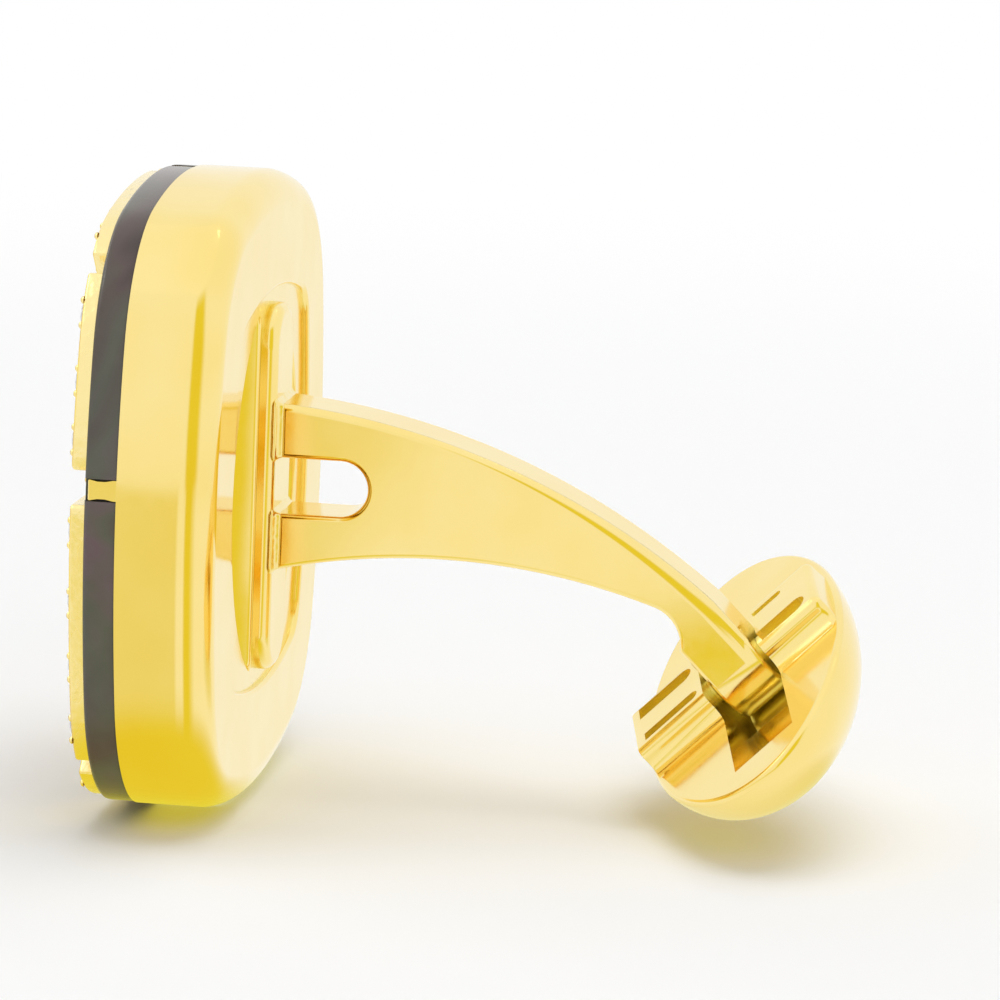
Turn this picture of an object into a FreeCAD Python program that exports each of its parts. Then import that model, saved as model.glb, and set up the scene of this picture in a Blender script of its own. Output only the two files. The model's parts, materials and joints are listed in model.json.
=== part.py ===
import FreeCAD, Part
import Sketcher
import math
import os

from FreeCAD import Placement, Rotation, Vector

os.makedirs("parts", exist_ok=True)

# Cufflink with a cushion face and a swivel toggle, in millimetres and degrees.
# Frame: the origin is the centre of the case's flat back, where the cuff rests.
# The face looks along -Y, the post and the toggle stand out along +Y, and +Z is up.
SIZES = {
    # Cushion outline shared by the case, the slab and the meander
    "face_width": 15.8,
    "side_radius": 18.5,
    "corner_radius": 4.0,
    # Case: a cup with a rounded back edge and a shallow recess in its back
    "case_depth": 2.3,
    "case_wall": 0.9,
    "back_edge_radius": 0.85,
    "back_thickness": 0.7,
    "recess_depth": 0.15,
    "recess_margin": 2.9,
    "opening_gap": 0.1,
    "opening_width": 2.9,
    "opening_height": 9.0,
    "claw_width": 0.5,
    "claw_thickness": 0.16,
    "claw_sink": 0.08,
    # Seat plate in the case's mouth, and the cement on it
    "seat_ledge": 0.4,
    "seat_plate_thickness": 0.5,
    "seat_plate_clearance": 0.02,
    "bed_thickness": 0.05,
    "bed_margin": 0.35,
    # Mother-of-pearl slab
    "slab_thickness": 0.74,
    "slab_margin": 0.06,
    "slab_bevel": 0.12,
    "claw_clearance": 0.02,
    # Meander segments, let into the slab
    "key_margin": 0.15,
    "key_proud": 0.36,
    "key_inlay": 0.4,
    "outer_arm_width": 1.15,
    "key_slot_width": 0.75,
    "inner_arm_width": 1.08,
    "mitre_gap": 0.5,
    "leg_width": 1.39,
    "leg_shift": 0.15,
    "outer_gap": 0.8,
    "inner_gap": 0.78,
    "key_slot_reach": 3.8,
    "key_slot_end_angle": 25.0,
    # Pegs under each segment
    "peg_radius": 0.25,
    "peg_clearance": 0.02,
    "peg_head_radius": 0.38,
    "peg_head_thickness": 0.15,
    # Round stones
    "stone_radius": 0.465,
    "stone_table_radius": 0.27,
    "stone_culet_radius": 0.02,
    "stone_crown_height": 0.13,
    "stone_girdle_height": 0.02,
    "stone_pavilion_height": 0.38,
    "stone_sink": 0.05,
    "stone_clearance": 0.01,
    "outer_row_inset": 0.78,
    "inner_row_inset": 2.57,
    # Rail on the back, and the solder under the post's feet
    "rail_thickness": 0.42,
    "rail_margin": 0.15,
    "rail_end_gap": 0.35,
    "solder_thickness": 0.12,
    "solder_margin": 0.08,
    # Post: a flat curved arm with a forked root and a knuckle
    "arm_thickness": 2.1,
    "root_top": 2.25,
    "root_bottom": 1.95,
    "upper_bow": 0.9,
    "lower_bow": 0.68,
    "fork_gap": 1.4,
    "fork_centre": 0.18,
    "fork_reach": 2.62,
    "pivot_reach": 12.1,
    "pivot_drop": 3.85,
    "post_end_angle": 45.0,
    "neck_width": 1.47,
    "neck_length": 1.75,
    "shoulder_length": 1.4,
    "notch_length": 2.6,
    "notch_inset": 0.3,
    "notch_depth": 0.21,
    # Toggle: half an ellipsoid with a pocket for the knuckle and a slot for the post
    "toggle_length": 12.2,
    "toggle_width": 6.4,
    "toggle_floor": 0.75,
    "toggle_shift": 0.15,
    "toggle_drop": 0.13,
    "toggle_tilt": 16.0,
    "pocket_side_clearance": 0.2,
    "pocket_back_clearance": 0.35,
    "slot_depth": 0.95,
    "slot_reach": 4.8,
    "lug_length": 2.6,
    "lug_setback": 0.2,
    "lug_root": 0.3,
    "lug_cover": 0.25,
    "groove_offset": 0.82,
    "groove_radius": 0.3,
    "blind_wall": 0.35,
    # Pivot pin and leaf spring
    "pin_radius": 0.35,
    "pin_clearance": 0.03,
    "pin_seat_clearance": 0.005,
    "spring_gap": 0.04,
    "spring_height": 0.86,
    "spring_span": 2.5,
    "spring_thickness": 0.15,
    "spring_width": 1.5,
    "spring_end_clearance": 0.3,
    # How far a cutting shape runs past what it cuts
    "overrun": 0.5,
}

# Places along a segment, as shares of half the face's width, from its left end to its right
OUTER_STONE_SHARES = (-0.625, -0.4275, -0.256, 0.02, 0.235, 0.435, 0.631)
INNER_STONE_SHARES = (-0.441, -0.2875, -0.141, 0.008, 0.278, 0.468)
PEG_SHARES = (-0.537, 0.018, 0.543)

# How far from a depth an edge may lie and still count, as a share of the width cut along it
EDGE_REACH_SHARE = 0.01

# Quarter turns of the face, clockwise from the top as seen from the front
SIDES = {"top": 0.0, "right": 90.0, "bottom": 180.0, "left": 270.0}

doc = FreeCAD.newDocument("Cufflink")
sheet = doc.addObject("Spreadsheet::Sheet", "Sizes")
for row, (alias, value) in enumerate(SIZES.items(), start=1):
    sheet.set(f"A{row}", alias)
    sheet.set(f"B{row}", str(value))
    sheet.setAlias(f"B{row}", alias)
doc.recompute()

subparts = []
ACROSS = Vector(1, 0, 0)
OUTWARD = Vector(0, 1, 0)


def size(alias):
    """The value of a named cell of the sheet."""
    return float(sheet.get(alias))


def bind(feature, expressions):
    """Tie a feature's properties to the sheet's cells."""
    for prop, expression in expressions.items():
        feature.setExpression(prop, expression)
    return feature


def drawn(name, shape, placement=Placement()):
    """A shape drawn with plain geometry from the sheet's values."""
    feature = doc.addObject("Part::Feature", name)
    feature.Shape = shape
    feature.Placement = placement
    return feature


def primitive(kind, name, placement, expressions):
    """A primitive whose sizes are bound to the sheet."""
    feature = doc.addObject("Part::" + kind, name)
    feature.Placement = placement
    return bind(feature, expressions)


def extruded(name, profile, direction, expressions, placement=Placement()):
    """A profile carried along a direction."""
    feature = doc.addObject("Part::Extrusion", name)
    feature.Base = profile
    feature.DirMode = "Custom"
    feature.Dir = direction
    feature.Solid = True
    feature.Placement = placement
    return bind(feature, expressions)


def fused(name, features):
    """Several features joined to one solid."""
    feature = doc.addObject("Part::MultiFuse", name)
    feature.Shapes = features
    return feature


def cut(name, base, tool):
    """One feature with another taken out of it."""
    feature = doc.addObject("Part::Cut", name)
    feature.Base = base
    feature.Tool = tool
    return feature


def edged(kind, name, base, edge_y, width):
    """A fillet or chamfer along every edge that lies at one depth."""
    doc.recompute()
    reach = width * EDGE_REACH_SHARE
    feature = doc.addObject("Part::" + kind, name)
    feature.Base = base
    feature.Edges = [
        (number, width, width)
        for number, edge in enumerate(base.Shape.Edges, start=1)
        if abs(edge.BoundBox.YMin - edge_y) < reach and abs(edge.BoundBox.YMax - edge_y) < reach
    ]
    return feature


def subpart(label, feature, placement=None):
    """Name a finished feature as one of the part's pieces."""
    feature.Label = label
    if placement is not None:
        feature.Placement = placement
    subparts.append(feature)
    return feature


def turned(angle):
    """A placement turned about the face's normal, for one of the four sides."""
    return Placement(Vector(), Rotation(OUTWARD, angle))


def at(x, y, z):
    """An unturned placement."""
    return Placement(Vector(x, y, z), Rotation())


def flat(x, z):
    """A point of the face's plane."""
    return Vector(x, 0, z)


# Cushion outline: four side arcs and four corner arcs, tangent to each other


def cushion(inset):
    """The face bounded by the cushion outline, drawn in by an inset."""
    half = size("face_width") / 2 - inset
    side = size("side_radius") - inset
    corner = size("corner_radius") - inset
    side_centre = half - side
    reach = side - corner
    corner_centre = (side_centre + math.sqrt(2 * reach**2 - side_centre**2)) / 2
    touch_x = corner_centre * side / reach
    touch_z = side_centre + (corner_centre - side_centre) * side / reach
    tip = corner_centre + corner / math.sqrt(2)
    edges = []
    for angle in SIDES.values():
        turn = Rotation(OUTWARD, angle)
        left, middle, right = flat(-touch_x, touch_z), flat(0, half), flat(touch_x, touch_z)
        after, below = flat(tip, tip), flat(touch_z, touch_x)
        for points in ((left, middle, right), (right, after, below)):
            edges.append(Part.Arc(*[turn.multVec(point) for point in points]).toShape())
    return Part.Face(Part.Wire(edges))


def row_place(share, inset):
    """A place on the top side, a share of half the width along it and an inset from its edge."""
    x = share * size("face_width") / 2
    centre = size("face_width") / 2 - size("side_radius")
    return x, centre + math.sqrt((size("side_radius") - inset) ** 2 - x**2)


def cushion_block(name, inset, start, length):
    """A block with the cushion outline, from one depth over a length towards the back."""
    outline = drawn(name + "_outline", cushion(inset))
    return extruded(name, outline, OUTWARD, {"LengthFwd": length, "Placement.Base.y": start})


# Meander: the pattern of one segment, then its pegs and stones


def polygon(points):
    """A flat face with straight sides."""
    corners = [flat(x, z) for x, z in points]
    return Part.Face(Part.makePolygon(corners + corners[:1]))


def key_pattern():
    """The top segment: a mitred stretch of band with two hooked slots, one open out and one open in."""
    half = size("face_width") / 2
    slot_outer = size("key_margin") + size("outer_arm_width")
    slot_inner = slot_outer + size("key_slot_width")
    band_inner = slot_inner + size("inner_arm_width")
    slot_middle = half - (slot_outer + slot_inner) / 2
    top = half + size("overrun")
    bottom = (half - band_inner) / 2
    mitre = size("mitre_gap") / math.sqrt(2)
    leg_left = size("leg_shift") - size("leg_width") / 2
    leg_right = size("leg_shift") + size("leg_width") / 2
    lean = math.tan(math.radians(size("key_slot_end_angle")))
    end_top = size("key_slot_reach") + (top - slot_middle) * lean
    end_bottom = size("key_slot_reach") + (bottom - slot_middle) * lean

    wedge = polygon([(0, mitre), (top - mitre, top), (mitre - top, top)])
    band = cushion(size("key_margin")).cut(cushion(band_inner)).common(wedge)
    slot_band = cushion(slot_outer).cut(cushion(slot_inner))
    left_slot = polygon([(leg_left, bottom), (leg_left, top), (-end_top, top), (-end_bottom, bottom)])
    right_slot = polygon([(leg_right, bottom), (leg_right, top), (end_top, top), (end_bottom, bottom)])
    gap_left = leg_left - size("outer_gap")
    outer_gap = polygon([(gap_left, slot_middle), (leg_left, slot_middle), (leg_left, top), (gap_left, top)])
    gap_right = leg_right + size("inner_gap")
    inner_gap = polygon(
        [(leg_right, bottom), (gap_right, bottom), (gap_right, slot_middle), (leg_right, slot_middle)]
    )
    pattern = band.cut(slot_band.common(left_slot)).cut(slot_band.common(right_slot))
    return pattern.cut(outer_gap).cut(inner_gap).Faces[0]


slab_front = "-(Sizes.case_depth + Sizes.bed_thickness + Sizes.slab_thickness)"
key_front = slab_front + " - Sizes.key_proud"
slab_front_y = -(size("case_depth") + size("bed_thickness") + size("slab_thickness"))
key_front_y = slab_front_y - size("key_proud")
key_back_y = slab_front_y + size("key_inlay")
plate_back_y = size("seat_plate_thickness") - size("case_depth")
band_width = size("outer_arm_width") + size("key_slot_width") + size("inner_arm_width")
peg_inset = size("key_margin") + band_width / 2

pattern_face = drawn("key_pattern", key_pattern())
key_blanks = {}
for side, angle in SIDES.items():
    key_blanks[side] = extruded(
        "key_blank_" + side,
        pattern_face,
        OUTWARD,
        {"LengthFwd": "Sizes.key_proud + Sizes.key_inlay", "Placement.Base.y": key_front},
        turned(angle),
    )


def set_out(shape, places, angle):
    """Copies of a shape at places of the top side, turned to one of the four sides."""
    copies = []
    for place in places:
        copy = shape.copy()
        copy.Placement = turned(angle).multiply(place)
        copies.append(copy)
    return copies


# Peg: a shank through slab, cement and plate, with its end peened to a head behind the plate
ALONG_Y = Rotation(ACROSS, -90)
shank_cell = "Sizes.seat_plate_thickness + Sizes.bed_thickness + Sizes.slab_thickness - Sizes.key_inlay"
shank_length = plate_back_y - key_back_y
peg = fused(
    "peg",
    [
        primitive("Cylinder", "peg_shank", Placement(), {"Radius": "Sizes.peg_radius", "Height": shank_cell}),
        primitive(
            "Cylinder",
            "peg_head",
            at(0, 0, shank_length),
            {"Radius": "Sizes.peg_head_radius", "Height": "Sizes.peg_head_thickness"},
        ),
    ],
)
peg_hole = primitive(
    "Cylinder",
    "peg_hole",
    at(0, 0, -size("overrun")),
    {"Radius": "Sizes.peg_radius + Sizes.peg_clearance", "Height": shank_cell + " + 2 * Sizes.overrun"},
)
doc.recompute()
peg_places = []
for share in PEG_SHARES:
    x, z = row_place(share, peg_inset)
    peg_places.append(Placement(Vector(x, key_back_y, z), ALONG_Y))
holes = []
for side, angle in SIDES.items():
    label = "pegs_" + side
    subpart(label, drawn(label, Part.makeCompound(set_out(peg.Shape, peg_places, angle))))
    for place in peg_places:
        hole = peg_hole.Shape.copy()
        hole.Placement = turned(angle).multiply(place).multiply(peg_hole.Placement)
        holes.append(hole)
peg_holes = drawn("peg_holes", Part.makeCompound(holes))

# Stone: crown, girdle and pavilion, with its table towards +Z and its girdle's middle at the origin
girdle_base = at(0, 0, -size("stone_girdle_height") / 2)
crown_base = at(0, 0, size("stone_girdle_height") / 2)
culet_base = at(0, 0, -size("stone_girdle_height") / 2 - size("stone_pavilion_height"))
stone = fused(
    "stone",
    [
        primitive(
            "Cylinder",
            "girdle",
            girdle_base,
            {"Radius": "Sizes.stone_radius", "Height": "Sizes.stone_girdle_height"},
        ),
        primitive(
            "Cone",
            "crown",
            crown_base,
            {
                "Radius1": "Sizes.stone_radius",
                "Radius2": "Sizes.stone_table_radius",
                "Height": "Sizes.stone_crown_height",
            },
        ),
        primitive(
            "Cone",
            "pavilion",
            culet_base,
            {
                "Radius1": "Sizes.stone_culet_radius",
                "Radius2": "Sizes.stone_radius",
                "Height": "Sizes.stone_pavilion_height",
            },
        ),
    ],
)
seat_base = at(0, 0, culet_base.Base.z - size("stone_clearance"))
stone_seat = fused(
    "stone_seat",
    [
        primitive(
            "Cylinder",
            "seat_mouth",
            girdle_base,
            {
                "Radius": "Sizes.stone_radius + Sizes.stone_clearance",
                "Height": "Sizes.stone_girdle_height + Sizes.stone_sink + Sizes.overrun",
            },
        ),
        primitive(
            "Cone",
            "seat_cone",
            seat_base,
            {
                "Radius1": "Sizes.stone_culet_radius + Sizes.stone_clearance",
                "Radius2": "Sizes.stone_radius + Sizes.stone_clearance",
                "Height": "Sizes.stone_pavilion_height + Sizes.stone_clearance",
            },
        ),
    ],
)
doc.recompute()


def stone_places(shares, inset):
    """Where a row's stones stand on the top side, with their tables towards the front."""
    table_forward = Rotation(ACROSS, 90)
    places = []
    for share in shares:
        x, z = row_place(share, inset)
        places.append(Placement(Vector(x, key_front_y + size("stone_sink"), z), table_forward))
    return places


outer_row = stone_places(OUTER_STONE_SHARES, size("outer_row_inset"))
inner_row = stone_places(INNER_STONE_SHARES, size("inner_row_inset"))
for side, angle in SIDES.items():
    for row_name, places in (("outer", outer_row), ("inner", inner_row)):
        label = f"stones_{row_name}_{side}"
        subpart(label, drawn(label, Part.makeCompound(set_out(stone.Shape, places, angle))))
    seats = drawn("seats_" + side, Part.makeCompound(set_out(stone_seat.Shape, outer_row + inner_row, angle)))
    subpart("key_" + side, cut("key_" + side, key_blanks[side], seats))

# Edge claws: a thin strap in each outer gap, from the case's rim over the slab's edge
claw_middle = size("leg_shift") - (size("leg_width") + size("outer_gap")) / 2
_, slab_edge = row_place(2 * claw_middle / size("face_width"), size("slab_margin"))
claw_length = size("bed_thickness") + size("slab_thickness") - size("claw_sink")
notch_width = size("claw_width") + 2 * size("claw_clearance")
claw_corner = Vector(
    claw_middle - size("claw_width") / 2,
    -size("case_depth") - claw_length,
    slab_edge - size("claw_thickness"),
)
notch_corner = Vector(
    claw_middle - notch_width / 2,
    slab_front_y - size("overrun"),
    slab_edge - size("claw_thickness") - size("claw_clearance"),
)
claws = []
notches = []
for side, angle in SIDES.items():
    claw = primitive(
        "Box",
        "claw_" + side,
        turned(angle).multiply(at(*claw_corner)),
        {
            "Length": "Sizes.claw_width",
            "Width": "Sizes.bed_thickness + Sizes.slab_thickness - Sizes.claw_sink",
            "Height": "Sizes.claw_thickness",
        },
    )
    notch = primitive(
        "Box",
        "notch_" + side,
        turned(angle).multiply(at(*notch_corner)),
        {
            "Length": "Sizes.claw_width + 2 * Sizes.claw_clearance",
            "Width": "Sizes.slab_thickness + Sizes.bed_thickness + Sizes.overrun",
            "Height": "Sizes.claw_thickness + Sizes.claw_clearance + Sizes.overrun",
        },
    )
    claws.append(claw)
    notches.append(notch)

# Case: the cup, its cavity, the rebate for the seat plate, and the pierced and recessed back
cup_block = cushion_block("cup_block", 0, "-Sizes.case_depth", "Sizes.case_depth")
cup_rounded = edged("Fillet", "cup_rounded", cup_block, 0, size("back_edge_radius"))
mouth = "-Sizes.case_depth - Sizes.overrun"
cavity = cushion_block(
    "cavity",
    size("case_wall"),
    mouth,
    "Sizes.case_depth + Sizes.overrun - Sizes.recess_depth - Sizes.back_thickness",
)
rebate = cushion_block(
    "rebate", size("case_wall") - size("seat_ledge"), mouth, "Sizes.seat_plate_thickness + Sizes.overrun"
)
recess = cushion_block(
    "recess", size("recess_margin"), "-Sizes.recess_depth", "Sizes.recess_depth + Sizes.overrun"
)


def opening_outline():
    """One arched opening beside the rail, straight along the rail and bowed outwards."""
    near = size("arm_thickness") / 2 + size("rail_margin") + size("opening_gap")
    low, high = flat(near, -size("opening_height") / 2), flat(near, size("opening_height") / 2)
    bow = Part.Arc(high, flat(near + size("opening_width"), 0), low).toShape()
    return Part.Face(Part.Wire([Part.makeLine(low, high), bow]))


opening_profile = drawn("opening_profile", opening_outline())
openings = [
    extruded(
        "opening_" + side,
        opening_profile,
        OUTWARD,
        {"LengthFwd": "Sizes.case_depth", "Placement.Base.y": "-Sizes.recess_depth - Sizes.case_depth / 2"},
        turned(SIDES[side] - SIDES["right"]),
    )
    for side in ("right", "left")
]
cup_tools = fused("cup_tools", [cavity, rebate, recess] + openings)
cup = cut("cup", cup_rounded, cup_tools)
subpart("case_cup", fused("case_cup", [cup] + claws))

# Seat plate: let into the case's mouth, flush with its rim
plate_block = cushion_block(
    "plate_block",
    size("case_wall") - size("seat_ledge") + size("seat_plate_clearance"),
    "-Sizes.case_depth",
    "Sizes.seat_plate_thickness",
)
subpart("seat_plate", cut("seat_plate", plate_block, peg_holes))

# Cement: a thin bed on the plate and the rim
bed_block = cushion_block(
    "bed_block", size("bed_margin"), "-Sizes.case_depth - Sizes.bed_thickness", "Sizes.bed_thickness"
)
subpart("adhesive_bed", cut("adhesive_bed", bed_block, peg_holes))

# Slab: bevelled at its front edge, with the meander's pockets, the peg holes and the claws' notches
slab_block = cushion_block("slab_block", size("slab_margin"), slab_front, "Sizes.slab_thickness")
slab_bevelled = edged("Chamfer", "slab_bevelled", slab_block, slab_front_y, size("slab_bevel"))
slab_tools = fused("slab_tools", list(key_blanks.values()) + [peg_holes] + notches)
subpart("pearl_slab", cut("pearl_slab", slab_bevelled, slab_tools))

# Rail: a strip with round ends in the back's recess, sketched on the XZ plane


def add_rail():
    """The rail as a padded sketch with its four upright edges rounded."""
    body = doc.addObject("PartDesign::Body", "back_rail")
    plane = next(item for item in body.Origin.OriginFeatures if item.Role == "XZ_Plane")
    sketch = body.newObject("Sketcher::SketchObject", "rail_sketch")
    sketch.AttachmentSupport = (plane, "")
    sketch.MapMode = "FlatFace"
    width = size("arm_thickness") + 2 * size("rail_margin")
    length = size("face_width") - 2 * (size("recess_margin") + size("rail_end_gap"))
    low, high = Vector(-width / 2, -length / 2, 0), Vector(width / 2, length / 2, 0)
    points = [low, Vector(high.x, low.y, 0), high, Vector(low.x, high.y, 0)]
    for start, end in zip(points, points[1:] + points[:1]):
        sketch.addGeometry(Part.LineSegment(start, end), False)
    for side in range(4):
        sketch.addConstraint(Sketcher.Constraint("Coincident", side, 2, (side + 1) % 4, 1))
    for side in (0, 2):
        sketch.addConstraint(Sketcher.Constraint("Horizontal", side))
    for side in (1, 3):
        sketch.addConstraint(Sketcher.Constraint("Vertical", side))
    sketch.addConstraint(Sketcher.Constraint("Symmetric", 0, 1, 1, 2, -1, 1))
    across = sketch.addConstraint(Sketcher.Constraint("DistanceX", 0, 1, 0, 2, width))
    sketch.setExpression(f"Constraints[{across}]", "Sizes.arm_thickness + 2 * Sizes.rail_margin")
    upright = sketch.addConstraint(Sketcher.Constraint("DistanceY", 1, 1, 1, 2, length))
    sketch.setExpression(
        f"Constraints[{upright}]",
        "Sizes.face_width - 2 * (Sizes.recess_margin + Sizes.rail_end_gap)",
    )
    pad = body.newObject("PartDesign::Pad", "rail_pad")
    pad.Profile = sketch
    pad.Reversed = True
    bind(pad, {"Length": "Sizes.rail_thickness"})
    doc.recompute()
    ends = [
        f"Edge{number}"
        for number, edge in enumerate(pad.Shape.Edges, start=1)
        if edge.BoundBox.YLength > size("rail_thickness") / 2
    ]
    rounding = body.newObject("PartDesign::Fillet", "rail_ends")
    rounding.Base = (pad, ends)
    bind(rounding, {"Radius": "Sizes.arm_thickness / 2"})
    bind(body, {"Placement.Base.y": "-Sizes.recess_depth"})
    return body


subpart("back_rail", add_rail())

# Post: the arm's silhouette in the YZ plane, its forked root, and the knuckle at its end
pivot = Placement(
    Vector(0, size("pivot_reach"), -size("pivot_drop")), Rotation(ACROSS, size("post_end_angle"))
)
rail_top_y = size("rail_thickness") - size("recess_depth")
root_y = rail_top_y + size("solder_thickness")


def bowed(start, end, bow, side):
    """An arc between two points that stands off its chord by a bow, to one side of it."""
    chord = end - start
    off = Vector(0, -chord.z, chord.y).normalize() * bow * side
    return Part.Arc(start, (start + end) / 2 + off, end).toShape()


def arm_outline():
    """The arm from its root to the pivot: two long arcs, a straight neck and a shouldered notch."""

    def near_pivot(width, back):
        return pivot.multVec(Vector(0, width, back))

    half = size("neck_width") / 2
    root_high = Vector(0, root_y, size("root_top"))
    root_low = Vector(0, root_y, -size("root_bottom"))
    neck_high = near_pivot(half, size("neck_length"))
    knuckle_high = near_pivot(half, 0)
    knuckle_low = near_pivot(-half, 0)
    shoulder = near_pivot(-half, size("shoulder_length"))
    notch = near_pivot(-half + size("notch_inset"), size("notch_length"))
    edges = [
        bowed(root_high, neck_high, size("upper_bow"), 1),
        Part.makeLine(neck_high, knuckle_high),
        Part.makeLine(knuckle_high, knuckle_low),
        Part.makeLine(knuckle_low, shoulder),
        bowed(shoulder, notch, size("notch_depth"), -1),
        bowed(notch, root_low, size("lower_bow"), -1),
        Part.makeLine(root_low, root_high),
    ]
    return Part.Face(Part.Wire(edges))


arm_profile = drawn("arm_profile", arm_outline())
arm_blank = extruded("arm_blank", arm_profile, ACROSS, {"LengthFwd": "Sizes.arm_thickness"})
arm_blank.Symmetric = True
knuckle = primitive(
    "Cylinder",
    "knuckle",
    pivot.multiply(Placement(Vector(0, -size("neck_width") / 2, 0), ALONG_Y)),
    {"Radius": "Sizes.arm_thickness / 2", "Height": "Sizes.neck_width"},
)
arm_solid = fused("arm_solid", [arm_blank, knuckle])
knuckle_bore = primitive(
    "Cylinder",
    "knuckle_bore",
    pivot.multiply(Placement(Vector(0, -size("neck_width"), 0), ALONG_Y)),
    {"Radius": "Sizes.pin_radius + Sizes.pin_clearance", "Height": "2 * Sizes.neck_width"},
)
fork_end = Vector(-size("arm_thickness"), size("fork_reach") - size("fork_gap") / 2, size("fork_centre"))
fork_round = primitive(
    "Cylinder",
    "fork_round",
    Placement(fork_end, Rotation(OUTWARD, 90)),
    {"Radius": "Sizes.fork_gap / 2", "Height": "2 * Sizes.arm_thickness"},
)
fork_mouth = primitive(
    "Box",
    "fork_mouth",
    at(fork_end.x, 0, fork_end.z - size("fork_gap") / 2),
    {
        "Length": "2 * Sizes.arm_thickness",
        "Width": "Sizes.fork_reach - Sizes.fork_gap / 2",
        "Height": "Sizes.fork_gap",
    },
)
arm_tools = fused("arm_tools", [knuckle_bore, fork_round, fork_mouth])
subpart("post_arm", cut("post_arm", arm_solid, arm_tools))


solder_width = size("arm_thickness") + 2 * size("solder_margin")
solder_cells = {
    "Length": "Sizes.arm_thickness + 2 * Sizes.solder_margin",
    "Width": "Sizes.solder_thickness",
}
upper_foot = primitive(
    "Box",
    "upper_foot",
    at(-solder_width / 2, rail_top_y, size("fork_centre") + size("fork_gap") / 2),
    {
        **solder_cells,
        "Height": "Sizes.root_top + Sizes.solder_margin - Sizes.fork_centre - Sizes.fork_gap / 2",
    },
)
lower_foot = primitive(
    "Box",
    "lower_foot",
    at(-solder_width / 2, rail_top_y, -size("root_bottom") - size("solder_margin")),
    {
        **solder_cells,
        "Height": "Sizes.root_bottom + Sizes.solder_margin + Sizes.fork_centre - Sizes.fork_gap / 2",
    },
)
solder = doc.addObject("Part::Compound", "post_solder")
solder.Links = [upper_foot, lower_foot]
subpart("post_solder", solder)

# Toggle, in its own frame at the pivot: X along its length, Y along the pin, Z towards the case
toggle_place = pivot.multiply(Placement(Vector(), Rotation(OUTWARD, size("toggle_tilt"))))
knuckle_radius = size("arm_thickness") / 2
pocket_depth = knuckle_radius + size("spring_gap") + size("spring_height")
pocket_width = size("neck_width") + 2 * size("pocket_side_clearance")
pocket_back = knuckle_radius + size("pocket_back_clearance")
lug_height = size("pin_radius") + size("lug_cover")
open_end = size("toggle_width") / 2 - size("lug_setback") + size("toggle_shift")
pocket_width_cell = "Sizes.neck_width + 2 * Sizes.pocket_side_clearance"
lug_height_cell = "Sizes.pin_radius + Sizes.lug_cover"
lug_end_cell = "Sizes.toggle_width / 2 - Sizes.lug_setback"
pocket_depth_cell = "Sizes.arm_thickness / 2 + Sizes.spring_gap + Sizes.spring_height"
blind_length_cell = f"2 * ({lug_end_cell}) - Sizes.blind_wall + Sizes.overrun"


hull = primitive(
    "Ellipsoid",
    "hull",
    at(0, -size("toggle_shift"), -size("toggle_drop")),
    {
        "Radius1": f"{pocket_depth_cell} + Sizes.toggle_floor - Sizes.toggle_drop",
        "Radius2": "Sizes.toggle_length / 2",
        "Radius3": "Sizes.toggle_width / 2",
    },
)
hull.Angle1 = -90
hull.Angle2 = 0
lugs = primitive(
    "Box",
    "lugs",
    at(-size("lug_length") / 2, -open_end, -size("lug_root")),
    {
        "Length": "Sizes.lug_length",
        "Width": f"2 * ({lug_end_cell})",
        "Height": f"Sizes.lug_root + {lug_height_cell}",
    },
)
pocket = primitive(
    "Box",
    "pocket",
    at(-pocket_back, -pocket_width / 2, -pocket_depth),
    {
        "Length": "Sizes.arm_thickness / 2 + Sizes.pocket_back_clearance"
        " + Sizes.spring_span / 2 + Sizes.spring_end_clearance",
        "Width": pocket_width_cell,
        "Height": f"{pocket_depth_cell} + {lug_height_cell} + Sizes.overrun",
    },
)
slot = primitive(
    "Box",
    "slot",
    at(0, -pocket_width / 2, -size("slot_depth")),
    {
        "Length": "Sizes.slot_reach",
        "Width": pocket_width_cell,
        "Height": f"Sizes.slot_depth + {lug_height_cell} + Sizes.overrun",
    },
)
grooves = [
    primitive(
        "Cylinder",
        "groove_" + name,
        Placement(Vector(x, -open_end - size("overrun"), lug_height), ALONG_Y),
        {"Radius": "Sizes.groove_radius", "Height": blind_length_cell},
    )
    for name, x in (("near", size("groove_offset")), ("far", -size("groove_offset")))
]
pin_bore = primitive(
    "Cylinder",
    "pin_bore",
    Placement(Vector(0, -open_end - size("overrun"), 0), ALONG_Y),
    {"Radius": "Sizes.pin_radius + Sizes.pin_seat_clearance", "Height": blind_length_cell},
)
toggle_blank = fused("toggle_blank", [hull, lugs])
toggle_tools = fused("toggle_tools", [pocket, slot, pin_bore] + grooves)
subpart("toggle_shell", cut("toggle_shell", toggle_blank, toggle_tools), toggle_place)

# Pin: from the open end of the bore to its blind end
pin = primitive(
    "Cylinder",
    "pivot_pin",
    toggle_place.multiply(Placement(Vector(0, -open_end, 0), ALONG_Y)),
    {"Radius": "Sizes.pin_radius", "Height": f"2 * ({lug_end_cell}) - Sizes.blind_wall"},
)
subpart("pivot_pin", pin)

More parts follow.
